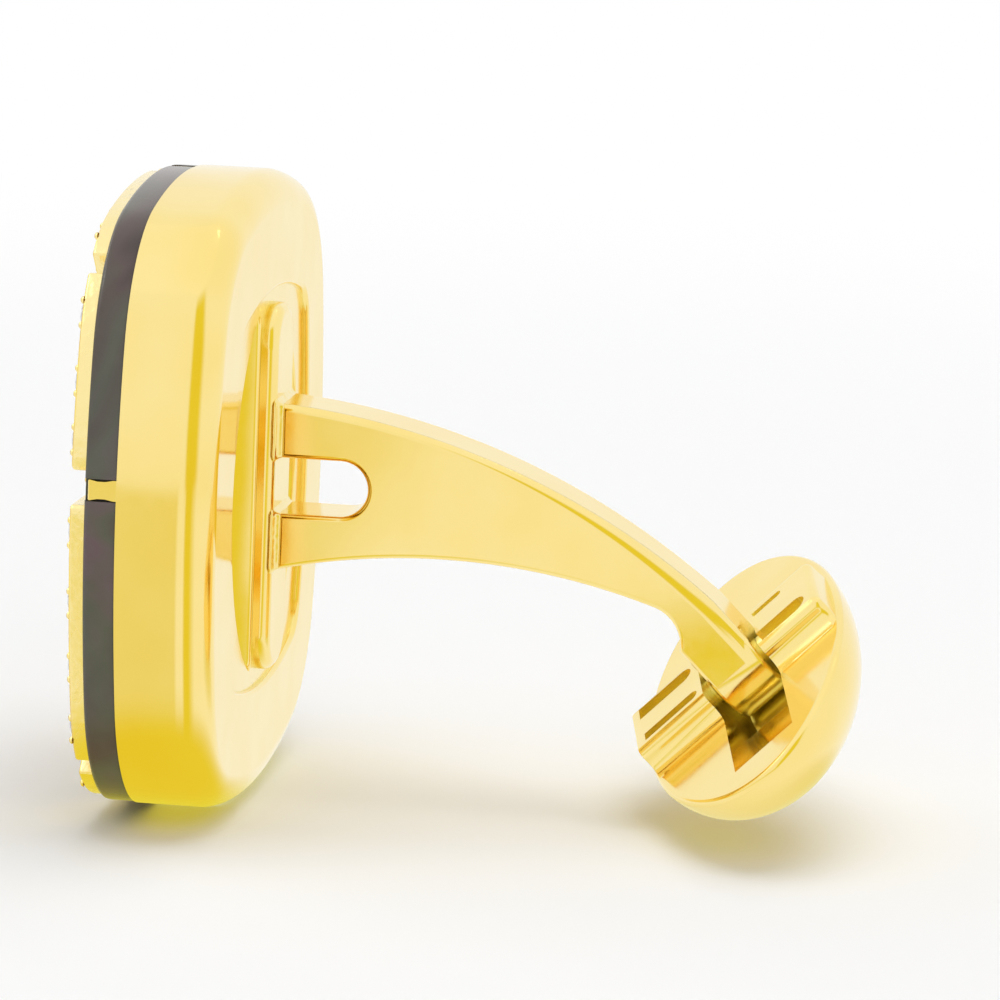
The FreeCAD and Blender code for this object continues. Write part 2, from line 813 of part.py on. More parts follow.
# Leaf spring: a strip arched from the pocket's floor up to the knuckle
rise = size("spring_height")
leaf_radius = ((size("spring_span") / 2) ** 2 + rise**2) / (2 * rise)
leaf_cell = "((Sizes.spring_span / 2) * (Sizes.spring_span / 2) + Sizes.spring_height * Sizes.spring_height)"
leaf_cell = f"{leaf_cell} / (2 * Sizes.spring_height)"
leaf_axis = Placement(
    Vector(0, -size("spring_width") / 2, rise - pocket_depth - leaf_radius), ALONG_Y
)
leaf_outer = primitive(
    "Cylinder", "leaf_outer", leaf_axis, {"Radius": leaf_cell, "Height": "Sizes.spring_width"}
)
leaf_inner = primitive(
    "Cylinder",
    "leaf_inner",
    leaf_axis,
    {"Radius": f"{leaf_cell} - Sizes.spring_thickness", "Height": "Sizes.spring_width"},
)
leaf_ring = cut("leaf_ring", leaf_outer, leaf_inner)
leaf_span = primitive(
    "Box",
    "leaf_span",
    at(-size("spring_span") / 2, -size("spring_width") / 2, -pocket_depth),
    {"Length": "Sizes.spring_span", "Width": "Sizes.spring_width", "Height": "Sizes.spring_height"},
)
leaf = doc.addObject("Part::Common", "leaf_spring")
leaf.Base = leaf_ring
leaf.Tool = leaf_span
subpart("leaf_spring", leaf, toggle_place)

doc.recompute()
failed = [item.Name for item in doc.Objects if "Invalid" in item.State or "Error" in item.State]
if failed:
    raise RuntimeError(f"failed features: {failed}")
for piece in subparts:
    if piece.Shape.isNull() or not piece.Shape.isValid() or not piece.Shape.Solids:
        raise RuntimeError(f"{piece.Label} has no valid solid")
for piece in subparts:
    piece.Shape.exportStep(f"parts/{piece.Label}.step")
    print(f"{piece.Label}: {len(piece.Shape.Solids)} solids, {piece.Shape.Volume:.3f} mm3")
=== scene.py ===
import json
import math
import random

import bmesh
import bpy
from mathutils import Matrix, Vector


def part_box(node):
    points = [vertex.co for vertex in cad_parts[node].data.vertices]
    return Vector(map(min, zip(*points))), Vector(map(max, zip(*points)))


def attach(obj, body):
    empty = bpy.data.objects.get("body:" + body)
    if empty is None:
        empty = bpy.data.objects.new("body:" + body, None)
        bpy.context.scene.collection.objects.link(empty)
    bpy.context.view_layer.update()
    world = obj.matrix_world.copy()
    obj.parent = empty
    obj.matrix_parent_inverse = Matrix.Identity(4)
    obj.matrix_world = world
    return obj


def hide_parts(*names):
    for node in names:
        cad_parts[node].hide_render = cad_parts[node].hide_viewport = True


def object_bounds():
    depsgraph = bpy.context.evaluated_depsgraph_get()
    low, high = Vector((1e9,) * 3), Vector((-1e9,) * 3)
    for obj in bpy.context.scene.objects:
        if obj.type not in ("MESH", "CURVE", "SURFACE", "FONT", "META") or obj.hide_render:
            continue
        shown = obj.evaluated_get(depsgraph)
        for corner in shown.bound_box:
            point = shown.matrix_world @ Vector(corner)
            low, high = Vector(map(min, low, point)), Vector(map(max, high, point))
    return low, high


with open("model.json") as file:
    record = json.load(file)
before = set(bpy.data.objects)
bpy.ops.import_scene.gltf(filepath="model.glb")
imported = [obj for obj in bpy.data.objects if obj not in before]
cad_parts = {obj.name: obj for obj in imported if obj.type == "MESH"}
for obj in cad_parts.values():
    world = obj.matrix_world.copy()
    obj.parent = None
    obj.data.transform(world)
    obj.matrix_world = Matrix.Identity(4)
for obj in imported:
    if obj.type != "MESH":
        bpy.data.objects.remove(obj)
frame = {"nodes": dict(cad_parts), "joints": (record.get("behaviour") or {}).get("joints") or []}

cad_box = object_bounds()

# Case: a cup of yellow gold plate, cast with a rounded back edge, a shallow recess in its back and two
# arched openings with drafted walls, then polished. Four thin straps stand on its rim and cross the
# slab's edge.
MM = 0.001
CLOSE_BY = 0.002
AROUND = (0, 1, 0)
FLAT = 0.99999


def spans(node):
    """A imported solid's lowest and highest corners, in millimetres."""
    low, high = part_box(node)
    return low / MM, high / MM


def begin(primitive, name, **settings):
    """Add a primitive with its place in its mesh, the only thing selected, and open it in edit mode."""
    bpy.ops.object.select_all(action="DESELECT")
    primitive(**settings)
    piece = bpy.context.object
    piece.name = name
    bpy.ops.object.transform_apply(location=True, rotation=True, scale=True)
    bpy.ops.object.mode_set(mode="EDIT")
    bpy.ops.mesh.select_all(action="SELECT")
    return piece


def scribe(name, point):
    """Start an outline: a new mesh of one point, in edit mode."""
    piece = begin(bpy.ops.mesh.primitive_plane_add, name)
    bpy.ops.mesh.select_mode(type="VERT")
    bpy.ops.mesh.merge(type="CENTER")
    bpy.ops.transform.translate(value=point)
    return piece


def line(end):
    """Carry the outline straight on to a point."""
    mesh = bmesh.from_edit_mesh(bpy.context.object.data)
    here = next(vert.co for vert in mesh.verts if vert.select)
    bpy.ops.mesh.extrude_vertices_move(TRANSFORM_OT_translate={"value": Vector(end) - here})


def arc(centre, turn, steps, axis=AROUND):
    """Carry the outline on along an arc, by degrees about an axis; spin itself counts the other way."""
    bpy.ops.mesh.spin(steps=steps, angle=-math.radians(turn), center=centre, axis=axis)


def close():
    """Join the outline's ends and fill it with one flat face."""
    bpy.ops.mesh.select_all(action="SELECT")
    bpy.ops.mesh.remove_doubles(threshold=CLOSE_BY)
    bpy.ops.mesh.edge_face_add()


def pick(kind, rule):
    """Select the mesh's faces, edges or points that a rule holds for, and nothing else."""
    bpy.ops.mesh.select_all(action="DESELECT")
    bpy.ops.mesh.select_mode(type=kind)
    mesh = bmesh.from_edit_mesh(bpy.context.object.data)
    for part in {"FACE": mesh.faces, "EDGE": mesh.edges, "VERT": mesh.verts}[kind]:
        if rule(part):
            part.select_set(True)
    bmesh.update_edit_mesh(bpy.context.object.data)


def extrude(travel):
    """Carry the selected face along, with walls behind it."""
    bpy.ops.mesh.extrude_region_move(TRANSFORM_OT_translate={"value": travel})


def step(inward, travel):
    """Draw the selected face in and carry it along, as one facet of a rounded edge."""
    bpy.ops.mesh.inset(thickness=inward, depth=0)
    bpy.ops.transform.translate(value=travel)


def round_edge(radius, way, facets, first=0.0):
    """Finish a raised face with a rounded edge, from a first angle to flat."""
    angles = [math.radians(first + (90 - first) * count / facets) for count in range(facets + 1)]
    for start, end in zip(angles, angles[1:]):
        rise = radius * (math.sin(end) - math.sin(start))
        step(radius * (math.cos(start) - math.cos(end)), Vector(way) * rise)


def round_lip(radius, way, facets):
    """Let the selected face down with a rounded lip, from flat to upright."""
    angles = [math.radians(90 * count / facets) for count in range(facets + 1)]
    for start, end in zip(angles, angles[1:]):
        drop = radius * (math.cos(start) - math.cos(end))
        step(radius * (math.sin(end) - math.sin(start)), Vector(way) * drop)


def tidy():
    """Close the seams of the mesh in hand, turn its faces outwards and leave edit mode."""
    bpy.ops.object.mode_set(mode="EDIT")
    bpy.ops.mesh.select_all(action="SELECT")
    bpy.ops.mesh.remove_doubles(threshold=CLOSE_BY)
    bpy.ops.mesh.normals_make_consistent(inside=False)
    bpy.ops.object.mode_set(mode="OBJECT")


def take(piece):
    """Make a piece the only selected one, in object mode."""
    if bpy.context.mode != "OBJECT":
        bpy.ops.object.mode_set(mode="OBJECT")
    bpy.ops.object.select_all(action="DESELECT")
    piece.select_set(True)
    bpy.context.view_layer.objects.active = piece


def apply(piece, kind, **settings):
    """Add a modifier to a piece and apply it."""
    take(piece)
    modifier = piece.modifiers.new(kind, kind)
    for name, value in settings.items():
        setattr(modifier, name, value)
    bpy.ops.object.modifier_apply(modifier=modifier.name)


def carve(piece, tool, operation="DIFFERENCE"):
    """Cut a piece with a tool, or join the two, split its larger faces and clear the tool away."""
    apply(piece, "BOOLEAN", operation=operation, solver="MANIFOLD", object=tool)
    apply(piece, "TRIANGULATE", min_vertices=5)
    bpy.data.objects.remove(tool)


def hand_over(piece, material, body, nodes, smooth=35):
    """Bring a finished piece to true size, shade it, give it its finish and hang it on its body."""
    take(piece)
    tidy()
    bpy.ops.object.mode_set(mode="EDIT")
    # Faces that lie square, or run straight across, lend their direction to the soft edges beside them.
    pick("FACE", lambda face: max(map(abs, face.normal)) > FLAT or abs(face.normal.x) < 1 - FLAT)
    bpy.ops.mesh.mod_weighted_strength(set=True, face_strength="STRONG")
    bpy.ops.object.mode_set(mode="OBJECT")
    piece.matrix_world = Matrix.Scale(MM, 4) @ piece.matrix_basis
    bpy.ops.object.transform_apply(location=True, rotation=True, scale=True)
    bpy.ops.object.shade_smooth_by_angle(angle=math.radians(smooth))
    apply(piece, "WEIGHTED_NORMAL", mode="CORNER_ANGLE", keep_sharp=True, use_face_influence=True)
    piece.data.materials.clear()
    piece.data.materials.append(material)
    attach(piece, body)
    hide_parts(*nodes)


def colour(code):
    """The linear colour of an sRGB hex code."""
    parts = [int(code[place:place + 2], 16) / 255 for place in (1, 3, 5)]
    return [part / 12.92 if part <= 0.04045 else ((part + 0.055) / 1.055) ** 2.4 for part in parts] + [1]


def add(tree, kind, inputs=(), **settings):
    """Add a shader node with its settings; inputs give a value or another node's socket."""
    node = tree.nodes.new("ShaderNode" + kind)
    for name, value in settings.items():
        setattr(node, name, value)
    for socket, value in dict(inputs).items():
        if isinstance(value, bpy.types.NodeSocket):
            tree.links.new(value, node.inputs[socket])
        else:
            node.inputs[socket].default_value = value
    return node


def new_material(name):
    """An empty node material, with its tree and its surface output."""
    material = bpy.data.materials.new(name)
    material.use_nodes = True
    material.node_tree.nodes.clear()
    return material, material.node_tree


# Yellow gold plate, mirror polished: pale lemon where it shows the white studio. Hand polishing leaves
# slow waves of a few millimetres and a faint haze. The mop doesn't reach into hollows, so they stay
# duller. Their colour is painted paler and more lemon there: painted light, lifting the deeper tone
# that gold takes in hollows where it shows itself over and over.
GOLD_PALE = "#FFEBA6"
GOLD_WARM = "#FCDF80"
GOLD_PAINTED_HOLLOW_LIGHT = "#FAF19C"
GOLD_HOLLOW = 1.2 * MM
HOLLOW_SHADE = (0.15, 0.75)
HOLLOW_DULL = 0.35
POLISH_WAVE = 2.4 * MM
WAVE_HEIGHT = 0.2 * MM
WAVE_STRENGTH = 0.08
POLISH_HAZE = 0.25 * MM
POLISH_DULL = (0.07, 0.17)
polished_gold, tree = new_material("polished_gold_plate")
place = add(tree, "TexCoord").outputs["Object"]
wave = add(tree, "TexNoise", {"Vector": place, "Scale": 1 / POLISH_WAVE, "Detail": 1.5})
haze = add(tree, "TexNoise", {"Vector": place, "Scale": 1 / POLISH_HAZE, "Detail": 3})
tone = add(
    tree, "Mix", {0: wave.outputs["Fac"], 6: colour(GOLD_PALE), 7: colour(GOLD_WARM)}, data_type="RGBA"
)
hollow = add(tree, "AmbientOcclusion", {"Distance": GOLD_HOLLOW}, samples=4)
low, high = HOLLOW_SHADE
open_air = add(tree, "MapRange", {"Value": hollow.outputs["AO"], "From Min": low, "From Max": high})
# Painted light: where the occlusion finds a hollow, the colour turns to a paler, more lemon tone.
tone = add(
    tree,
    "Mix",
    {0: open_air.outputs["Result"], 6: colour(GOLD_PAINTED_HOLLOW_LIGHT), 7: tone.outputs[2]},
    data_type="RGBA",
)
low, high = POLISH_DULL
dull = add(tree, "MapRange", {"Value": haze.outputs["Fac"], "To Min": low, "To Max": high})
dull = add(tree, "Mix", {0: open_air.outputs["Result"], 2: HOLLOW_DULL, 3: dull.outputs["Result"]})
bump = add(
    tree, "Bump", {"Height": wave.outputs["Fac"], "Strength": WAVE_STRENGTH, "Distance": WAVE_HEIGHT}
)
surface = add(
    tree,
    "BsdfPrincipled",
    {
        "Base Color": tone.outputs[2],
        "Metallic": 1.0,
        "Roughness": dull.outputs[0],
        "Normal": bump.outputs["Normal"],
    },
)
add(tree, "OutputMaterial", {"Surface": surface.outputs["BSDF"]})

FACE_HALF = spans("case_cup")[1].x
SIDE_RADIUS = 18.5
CORNER_RADIUS = 4.0
SIDE_CENTRE = FACE_HALF - SIDE_RADIUS
REACH = SIDE_RADIUS - CORNER_RADIUS
CORNER_CENTRE = (SIDE_CENTRE + math.sqrt(2 * REACH**2 - SIDE_CENTRE**2)) / 2
SIDE_LEAN = math.degrees(math.atan2(CORNER_CENTRE, CORNER_CENTRE - SIDE_CENTRE))
SIDE_STEPS = 28
CORNER_STEPS = 18
RIM_Y = spans("seat_plate")[0].y
EDGE_FACETS = 3
BACK_RADIUS = 0.85
BACK_CREASE = 9.0
BACK_FACETS = 10
SIDE_HOLD = 0.12
RECESS_INSET = 2.9
RECESS_DEPTH = 0.15
RECESS_LIP = 0.12
RECESS_FACETS = 4
WALL = 0.9
REBATE_WALL = 0.5
PLATE_BACK_Y = spans("seat_plate")[1].y
BACK_THICKNESS = 0.7
OPENING_NEAR = 1.3
OPENING_WIDTH = 2.9
OPENING_HALF = 4.5
OPENING_LIP = 0.12
OPENING_FACETS = 6
OPENING_CORNER = 0.45
OPENING_DRAFT = 0.25
OPENING_STEPS = 24
OVERRUN = 0.4


def quarter(count):
    """A turn of the face by quarters, clockwise as seen from the front."""
    return Matrix.Rotation(count * math.pi / 2, 3, "Y")


def cushion(name, y, inset):
    """Scribe the cushion at a depth, drawn in by an inset: four side arcs and four corner arcs."""
    corner = CORNER_RADIUS - inset
    lean = math.radians(SIDE_LEAN)
    start = Vector((-CORNER_CENTRE - corner * math.sin(lean), y, CORNER_CENTRE + corner * math.cos(lean)))
    piece = scribe(name, start)
    for count in range(4):
        arc(quarter(count) @ Vector((0, y, SIDE_CENTRE)), 2 * SIDE_LEAN, SIDE_STEPS)
        arc(quarter(count) @ Vector((CORNER_CENTRE, y, CORNER_CENTRE)), 90 - 2 * SIDE_LEAN, CORNER_STEPS)
    close()
    return piece


case = cushion("case_cup_polished", RIM_Y, 0)
extrude((0, BACK_RADIUS * (math.sin(math.radians(BACK_CREASE)) - 1) - RIM_Y - SIDE_HOLD, 0))
extrude((0, SIDE_HOLD, 0))
round_edge(BACK_RADIUS, (0, 1, 0), BACK_FACETS, BACK_CREASE)
step(RECESS_INSET - BACK_RADIUS - RECESS_LIP, (0, 0, 0))
round_lip(RECESS_LIP, (0, -1, 0), RECESS_FACETS)
extrude((0, RECESS_LIP - RECESS_DEPTH, 0))
pick("FACE", lambda face: face.normal.y < -FLAT)
step(REBATE_WALL, (0, 0, 0))
extrude((0, PLATE_BACK_Y - RIM_Y, 0))
step(WALL - REBATE_WALL, (0, 0, 0))
extrude((0, -RECESS_DEPTH - BACK_THICKNESS - PLATE_BACK_Y, 0))
tidy()

bow_radius = (OPENING_HALF**2 + OPENING_WIDTH**2) / (2 * OPENING_WIDTH)
bow_centre = OPENING_NEAR + OPENING_WIDTH - bow_radius
lip_radius = bow_radius + OPENING_LIP
lip_near = OPENING_NEAR - OPENING_LIP
lip_turn = math.degrees(math.acos((lip_near - bow_centre) / lip_radius))
lip_high = lip_radius * math.sin(math.radians(lip_turn))
for count in (0, 2):
    tool = scribe("opening", (lip_near, OVERRUN, lip_high))
    arc((bow_centre, OVERRUN, 0), 2 * lip_turn, OPENING_STEPS)
    close()
    pick("VERT", lambda vert: abs(vert.co.x - lip_near) < CLOSE_BY)
    bpy.ops.mesh.bevel(offset=OPENING_CORNER, segments=EDGE_FACETS, affect="VERTICES")
    pick("FACE", lambda face: True)
    extrude((0, -OVERRUN - RECESS_DEPTH, 0))
    round_lip(OPENING_LIP, (0, -1, 0), OPENING_FACETS)
    step(OPENING_DRAFT, (0, -BACK_THICKNESS, 0))
    tidy()
    tool.rotation_euler = quarter(count).to_euler()
    bpy.ops.object.transform_apply(rotation=True)
    carve(case, tool)

CLAW_PLACE = -0.945
CLAW_HALF = 0.25
CLAW_ROOT = 0.1
CLAW_WAIST = 0.84
CLAW_WIDTHS = (1.0, CLAW_WAIST, 1.0, 1 / CLAW_WAIST)
CLAW_EDGE = 0.05
CLAW_SINK = 0.06
CLAW_THICK = 0.16
CLAW_TIP_Y = spans("case_cup")[0].y
CLAW_OUTER = SIDE_CENTRE + math.sqrt((SIDE_RADIUS - CLAW_SINK) ** 2 - CLAW_PLACE**2)
CLAW_INNER = CLAW_OUTER - CLAW_THICK
for count in range(4):
    claw = scribe("claw", (CLAW_PLACE - CLAW_HALF, RIM_Y + CLAW_ROOT, CLAW_INNER))
    line((CLAW_PLACE + CLAW_HALF, RIM_Y + CLAW_ROOT, CLAW_INNER))
    line((CLAW_PLACE + CLAW_HALF, RIM_Y + CLAW_ROOT, CLAW_OUTER))
    line((CLAW_PLACE - CLAW_HALF, RIM_Y + CLAW_ROOT, CLAW_OUTER))
    close()
    reach = RIM_Y + CLAW_ROOT - CLAW_TIP_Y - CLAW_EDGE
    for factor in CLAW_WIDTHS:
        extrude((0, -reach / len(CLAW_WIDTHS), 0))
        bpy.ops.transform.resize(value=(factor, 1, 1), center_override=(CLAW_PLACE, 0, 0))
    round_edge(CLAW_EDGE, (0, -1, 0), EDGE_FACETS)
    tidy()
    claw.rotation_euler = quarter(count).to_euler()
    bpy.ops.object.transform_apply(rotation=True)
    carve(case, claw, "UNION")
hand_over(case, polished_gold, "link", ["case_cup"])

# Key segments: four meander segments of yellow gold, cast with soft corners, let into the slab and set
# with stones. For each stone the setter drills a seat, raises four grains over its edge with a graver
# and leaves a bright cut behind each grain.
KEY_FRONT_Y = spans("key_top")[0].y
KEY_BACK_Y = spans("key_top")[1].y
KEY_OUTER = 0.15
KEY_SLOT_OUTER = 1.3
KEY_SLOT_INNER = 2.05
KEY_INNER = 3.13
KEY_EDGE = 0.075
LEG_LEFT = -0.545
LEG_RIGHT = 0.845
GAP_LEFT = -1.345
GAP_RIGHT = 1.625
SLOT_REACH = 3.8
SLOT_LEAN = 25.0
MITRE_HALF = 0.25
CHORD = 0.4
CORNER = 0.12
FREE_CORNER = 0.22
CORNER_ANGLE = 45.0
MITRE_STEPS = 4
KEY_SMOOTH = 30


def row(inset, x, y):
    """A point of the top row at an inset, at a distance across the face."""
    return Vector((x, y, SIDE_CENTRE + math.sqrt((SIDE_RADIUS - inset) ** 2 - x**2)))


def row_lean(inset, x):
    """How far the top row leans there, in degrees."""
    return math.degrees(math.asin(x / (SIDE_RADIUS - inset)))


def follow(x):
    """Carry the outline on along its row to a distance across the face."""
    mesh = bmesh.from_edit_mesh(bpy.context.object.data)
    here = next(vert.co.copy() for vert in mesh.verts if vert.select)
    hub = Vector((0, here.y, SIDE_CENTRE))
    radius = (here - hub).length
    turn = math.asin(x / radius) - math.asin(here.x / radius)
    arc(hub, math.degrees(turn), max(1, round(radius * abs(turn) / CHORD)))


def slot_end(inset, side, y):
    """Where the slanted end of a slot meets a row, on the left (-1) or the right (1)."""
    middle = Vector((SLOT_REACH, FACE_HALF - (KEY_SLOT_OUTER + KEY_SLOT_INNER) / 2 - SIDE_CENTRE))
    way = Vector((math.sin(math.radians(SLOT_LEAN)), math.cos(math.radians(SLOT_LEAN))))
    run = middle.dot(way)
    reach = math.sqrt(run**2 - middle.length_squared + (SIDE_RADIUS - inset) ** 2) - run
    return row(inset, side * (middle + way * reach).x, y)


def mitre_lean(inset):
    """The angle on the corner's arc at which the mitre's gap begins, in degrees."""
    return math.degrees(math.acos(MITRE_HALF / (CORNER_RADIUS - inset))) - 45


def mitre(inset, side, y):
    """Where the mitre's gap meets the corner's arc at an inset."""
    lean = math.radians(mitre_lean(inset))
    reach = CORNER_RADIUS - inset
    x = side * (CORNER_CENTRE + reach * math.sin(lean))
    return Vector((x, y, CORNER_CENTRE + reach * math.cos(lean)))


def key_outline(name, y):
    """Scribe the top segment at a depth, clockwise from its left mitre, and soften its corners."""
    left = Vector((-CORNER_CENTRE, y, CORNER_CENTRE))
    right = Vector((CORNER_CENTRE, y, CORNER_CENTRE))
    outer_end = (SIDE_RADIUS - KEY_OUTER) * math.sin(math.radians(SIDE_LEAN))
    inner_end = (SIDE_RADIUS - KEY_INNER) * math.sin(math.radians(SIDE_LEAN))
    piece = scribe(name, mitre(KEY_OUTER, -1, y))
    arc(left, mitre_lean(KEY_OUTER) - SIDE_LEAN, MITRE_STEPS)
    follow(GAP_LEFT)
    line(row(KEY_SLOT_OUTER, GAP_LEFT, y))
    follow(slot_end(KEY_SLOT_OUTER, -1, y).x)
    line(slot_end(KEY_SLOT_INNER, -1, y))
    follow(LEG_LEFT)
    line(row(KEY_OUTER, LEG_LEFT, y))
    follow(outer_end)
    arc(right, mitre_lean(KEY_OUTER) - SIDE_LEAN, MITRE_STEPS)
    line(mitre(KEY_INNER, 1, y))
    arc(right, SIDE_LEAN - mitre_lean(KEY_INNER), 1)
    follow(GAP_RIGHT)
    line(row(KEY_SLOT_INNER, GAP_RIGHT, y))
    follow(slot_end(KEY_SLOT_INNER, 1, y).x)
    line(slot_end(KEY_SLOT_OUTER, 1, y))
    follow(LEG_RIGHT)
    line(row(KEY_INNER, LEG_RIGHT, y))
    follow(-inner_end)
    arc(left, SIDE_LEAN - mitre_lean(KEY_INNER), 1)
    close()
    free = (GAP_LEFT, GAP_RIGHT)
    for corner, wanted in ((FREE_CORNER, True), (CORNER, False)):
        pick(
            "VERT",
            lambda vert: vert.calc_edge_angle() > math.radians(CORNER_ANGLE)
            and any(abs(vert.co.x - x) < CLOSE_BY for x in free) == wanted,
        )
        bpy.ops.mesh.bevel(offset=corner, segments=EDGE_FACETS, affect="VERTICES")
    pick("FACE", lambda face: True)
    return piece


# Yellow gold as it comes from the casting, burnished but not mirror polished: strong yellow, with a
# fine ripple of a few tenths of a millimetre that breaks up what it reflects. The sides are painted in
# the plate's paler tone, a painted sheen, and a thin clear lacquer adds a sharper glint.
CAST_YELLOW = "#F6D408"
CAST_WARM = "#E4BE46"
CAST_PATCH = 1.1 * MM
PATCH_EDGES = (0.38, 0.62)
SIDE_TO_FRONT = (0.25, 0.85)
CAST_DULL = (0.18, 0.34)
CAST_RIPPLE = 0.28 * MM
RIPPLE_HEIGHT = 0.05 * MM
RIPPLE_STRENGTH = 0.6
LACQUER = 0.5
LACQUER_DULL = 0.12
bright_cut_gold, tree = new_material("burnished_cast_gold")
place = add(tree, "TexCoord").outputs["Object"]
patch = add(tree, "TexNoise", {"Vector": place, "Scale": 1 / CAST_PATCH, "Detail": 3})
low, high = PATCH_EDGES
worn = add(tree, "MapRange", {"Value": patch.outputs["Fac"], "From Min": low, "From Max": high})
ripple = add(tree, "TexNoise", {"Vector": place, "Scale": 1 / CAST_RIPPLE, "Detail": 2})
tone = add(
    tree, "Mix", {0: worn.outputs["Result"], 6: colour(CAST_YELLOW), 7: colour(CAST_WARM)}, data_type="RGBA"
)
# Painted sheen: faces that turn away from the front take the paler tone of the plate.
way = add(tree, "SeparateXYZ", {0: add(tree, "NewGeometry").outputs["Normal"]})
way = add(tree, "Math", {0: way.outputs["Y"]}, operation="ABSOLUTE")
low, high = SIDE_TO_FRONT
front = add(tree, "MapRange", {"Value": way.outputs[0], "From Min": low, "From Max": high})
tone = add(
    tree, "Mix", {0: front.outputs["Result"], 6: colour(GOLD_PALE), 7: tone.outputs[2]}, data_type="RGBA"
)
low, high = CAST_DULL
dull = add(tree, "MapRange", {"Value": patch.outputs["Fac"], "To Min": low, "To Max": high})
bump = add(
    tree, "Bump", {"Height": ripple.outputs["Fac"], "Strength": RIPPLE_STRENGTH, "Distance": RIPPLE_HEIGHT}
)
surface = add(
    tree,
    "BsdfPrincipled",
    {
        "Base Color": tone.outputs[2],
        "Metallic": 1.0,
        "Roughness": dull.outputs["Result"],
        "Normal": bump.outputs["Normal"],
        "Coat Weight": LACQUER,
        "Coat Roughness": LACQUER_DULL,
    },
)
add(tree, "OutputMaterial", {"Surface": surface.outputs["BSDF"]})

OUTER_SHARES = (-0.625, -0.4275, -0.256, 0.02, 0.235, 0.435, 0.631)
INNER_SHARES = (-0.441, -0.2875, -0.141, 0.008, 0.278, 0.468)
OUTER_ROW = 0.78
INNER_ROW = 2.57
STONE_SINK = 0.05
STONE_PAVILION = 0.38
SEAT_MOUTH = 0.52
SEAT_FLARE = 0.05
SEAT_SIDES = 32
SEAT_FOOT = 0.05
FACING_FRONT = (math.pi / 2, 0, 0)
GRAIN = 0.1
GRAIN_FOOT = 0.01
GRAIN_FLAT = 0.8
GRAIN_SIDES = 12
GRAIN_REACH = 0.53
GRAIN_ANGLES = (35, 145, 215, 325)
CUT_HALF = 0.075
CUT_LENGTH = 0.14
CUT_REACH = 0.65
CUT_SLOPE = 0.6


def setting(inset, share, y):
    """The place of a stone on the top row, with its across direction along the row."""
    x = share * FACE_HALF
    lean = math.radians(row_lean(inset, x))
    return Matrix.Translation(row(inset, x, y)) @ Matrix.Rotation(lean, 4, "Y")


def copy_to(piece, place):
    """A copy of a piece, with its own mesh, at a place."""
    copy = piece.copy()
    copy.data = piece.data.copy()
    bpy.context.scene.collection.objects.link(copy)
    copy.matrix_world = place
    return copy


def gather(name, pieces):
    """Join several meshes into one."""
    take(pieces[0])
    for piece in pieces:
        piece.select_set(True)
    bpy.ops.object.join()
    pieces[0].name = name
    bpy.ops.object.transform_apply(location=True, rotation=True, scale=True)
    return pieces[0]


seat = begin(
    bpy.ops.mesh.primitive_circle_add,
    "seat",
    vertices=SEAT_SIDES,
    radius=SEAT_MOUTH,
    fill_type="NGON",
    rotation=FACING_FRONT,
)
pick("FACE", lambda face: True)
bpy.ops.transform.translate(value=(0, -OVERRUN, 0))
extrude((0, OVERRUN, 0))
step(SEAT_FLARE, (0, STONE_SINK, 0))
step(SEAT_MOUTH - SEAT_FLARE - SEAT_FOOT, (0, STONE_PAVILION, 0))
tidy()

bright_cut = begin(
    bpy.ops.mesh.primitive_cone_add, "cut", vertices=4, radius1=CUT_HALF, radius2=0, depth=CUT_LENGTH
)
bpy.ops.transform.resize(value=(1, CUT_SLOPE, 1), center_override=(0, 0, 0))
bpy.ops.transform.translate(value=(0, 0, CUT_REACH))
tidy()

grain = begin(
    bpy.ops.mesh.primitive_uv_sphere_add,
    "grain",
    segments=GRAIN_SIDES,
    ring_count=GRAIN_SIDES // 2,
    radius=GRAIN,
    rotation=FACING_FRONT,
)
bpy.ops.mesh.bisect(plane_co=(0, GRAIN_FOOT, 0), plane_no=(0, 1, 0), use_fill=False, clear_outer=True)
bpy.ops.mesh.select_all(action="SELECT")
bpy.ops.transform.resize(value=(1, GRAIN_FLAT, 1), center_override=(0, 0, 0))
bpy.ops.transform.translate(value=(0, 0, GRAIN_REACH))
tidy()

key = key_outline("key", KEY_BACK_Y)
extrude((0, KEY_FRONT_Y + KEY_EDGE - KEY_BACK_Y, 0))
round_edge(KEY_EDGE, (0, -1, 0), EDGE_FACETS)
tidy()
settings = [setting(OUTER_ROW, share, KEY_FRONT_Y) for share in OUTER_SHARES]
settings += [setting(INNER_ROW, share, KEY_FRONT_Y) for share in INNER_SHARES]
turns = [Matrix.Rotation(math.radians(angle), 4, "Y") for angle in GRAIN_ANGLES]
carve(key, gather("seats", [copy_to(seat, place) for place in settings]))
carve(key, gather("cuts", [copy_to(bright_cut, place @ turn) for place in settings for turn in turns]))
grains = gather("grains", [copy_to(grain, place @ turn) for place in settings for turn in turns])
gather("key", [key, grains])
SIDES = ("top", "right", "bottom", "left")
for count, side in enumerate(SIDES):
    copy = copy_to(key, quarter(count).to_4x4())
    copy.name = f"key_{side}_set"
    hand_over(copy, bright_cut_gold, "link", [f"key_{side}"], KEY_SMOOTH)
for tool in (seat, bright_cut, grain, key):
    bpy.data.objects.remove(tool)

# Stones: round white brilliants of just under a millimetre, cut facet by facet with a flat table, eight
# kites, stars and halves above the girdle, and mains and halves below. The grains hold them.
STONE_RADIUS = 0.465
STONE_TABLE = 0.27
STONE_CROWN = 0.129
STONE_GIRDLE = 0.02
STONE_SIDES = 32
HALF_TILT = 6
STAR_TILT = -13
LOWER_HALF_TILT = 2
STONE_SMOOTH = 1
DICE_SEED = 7
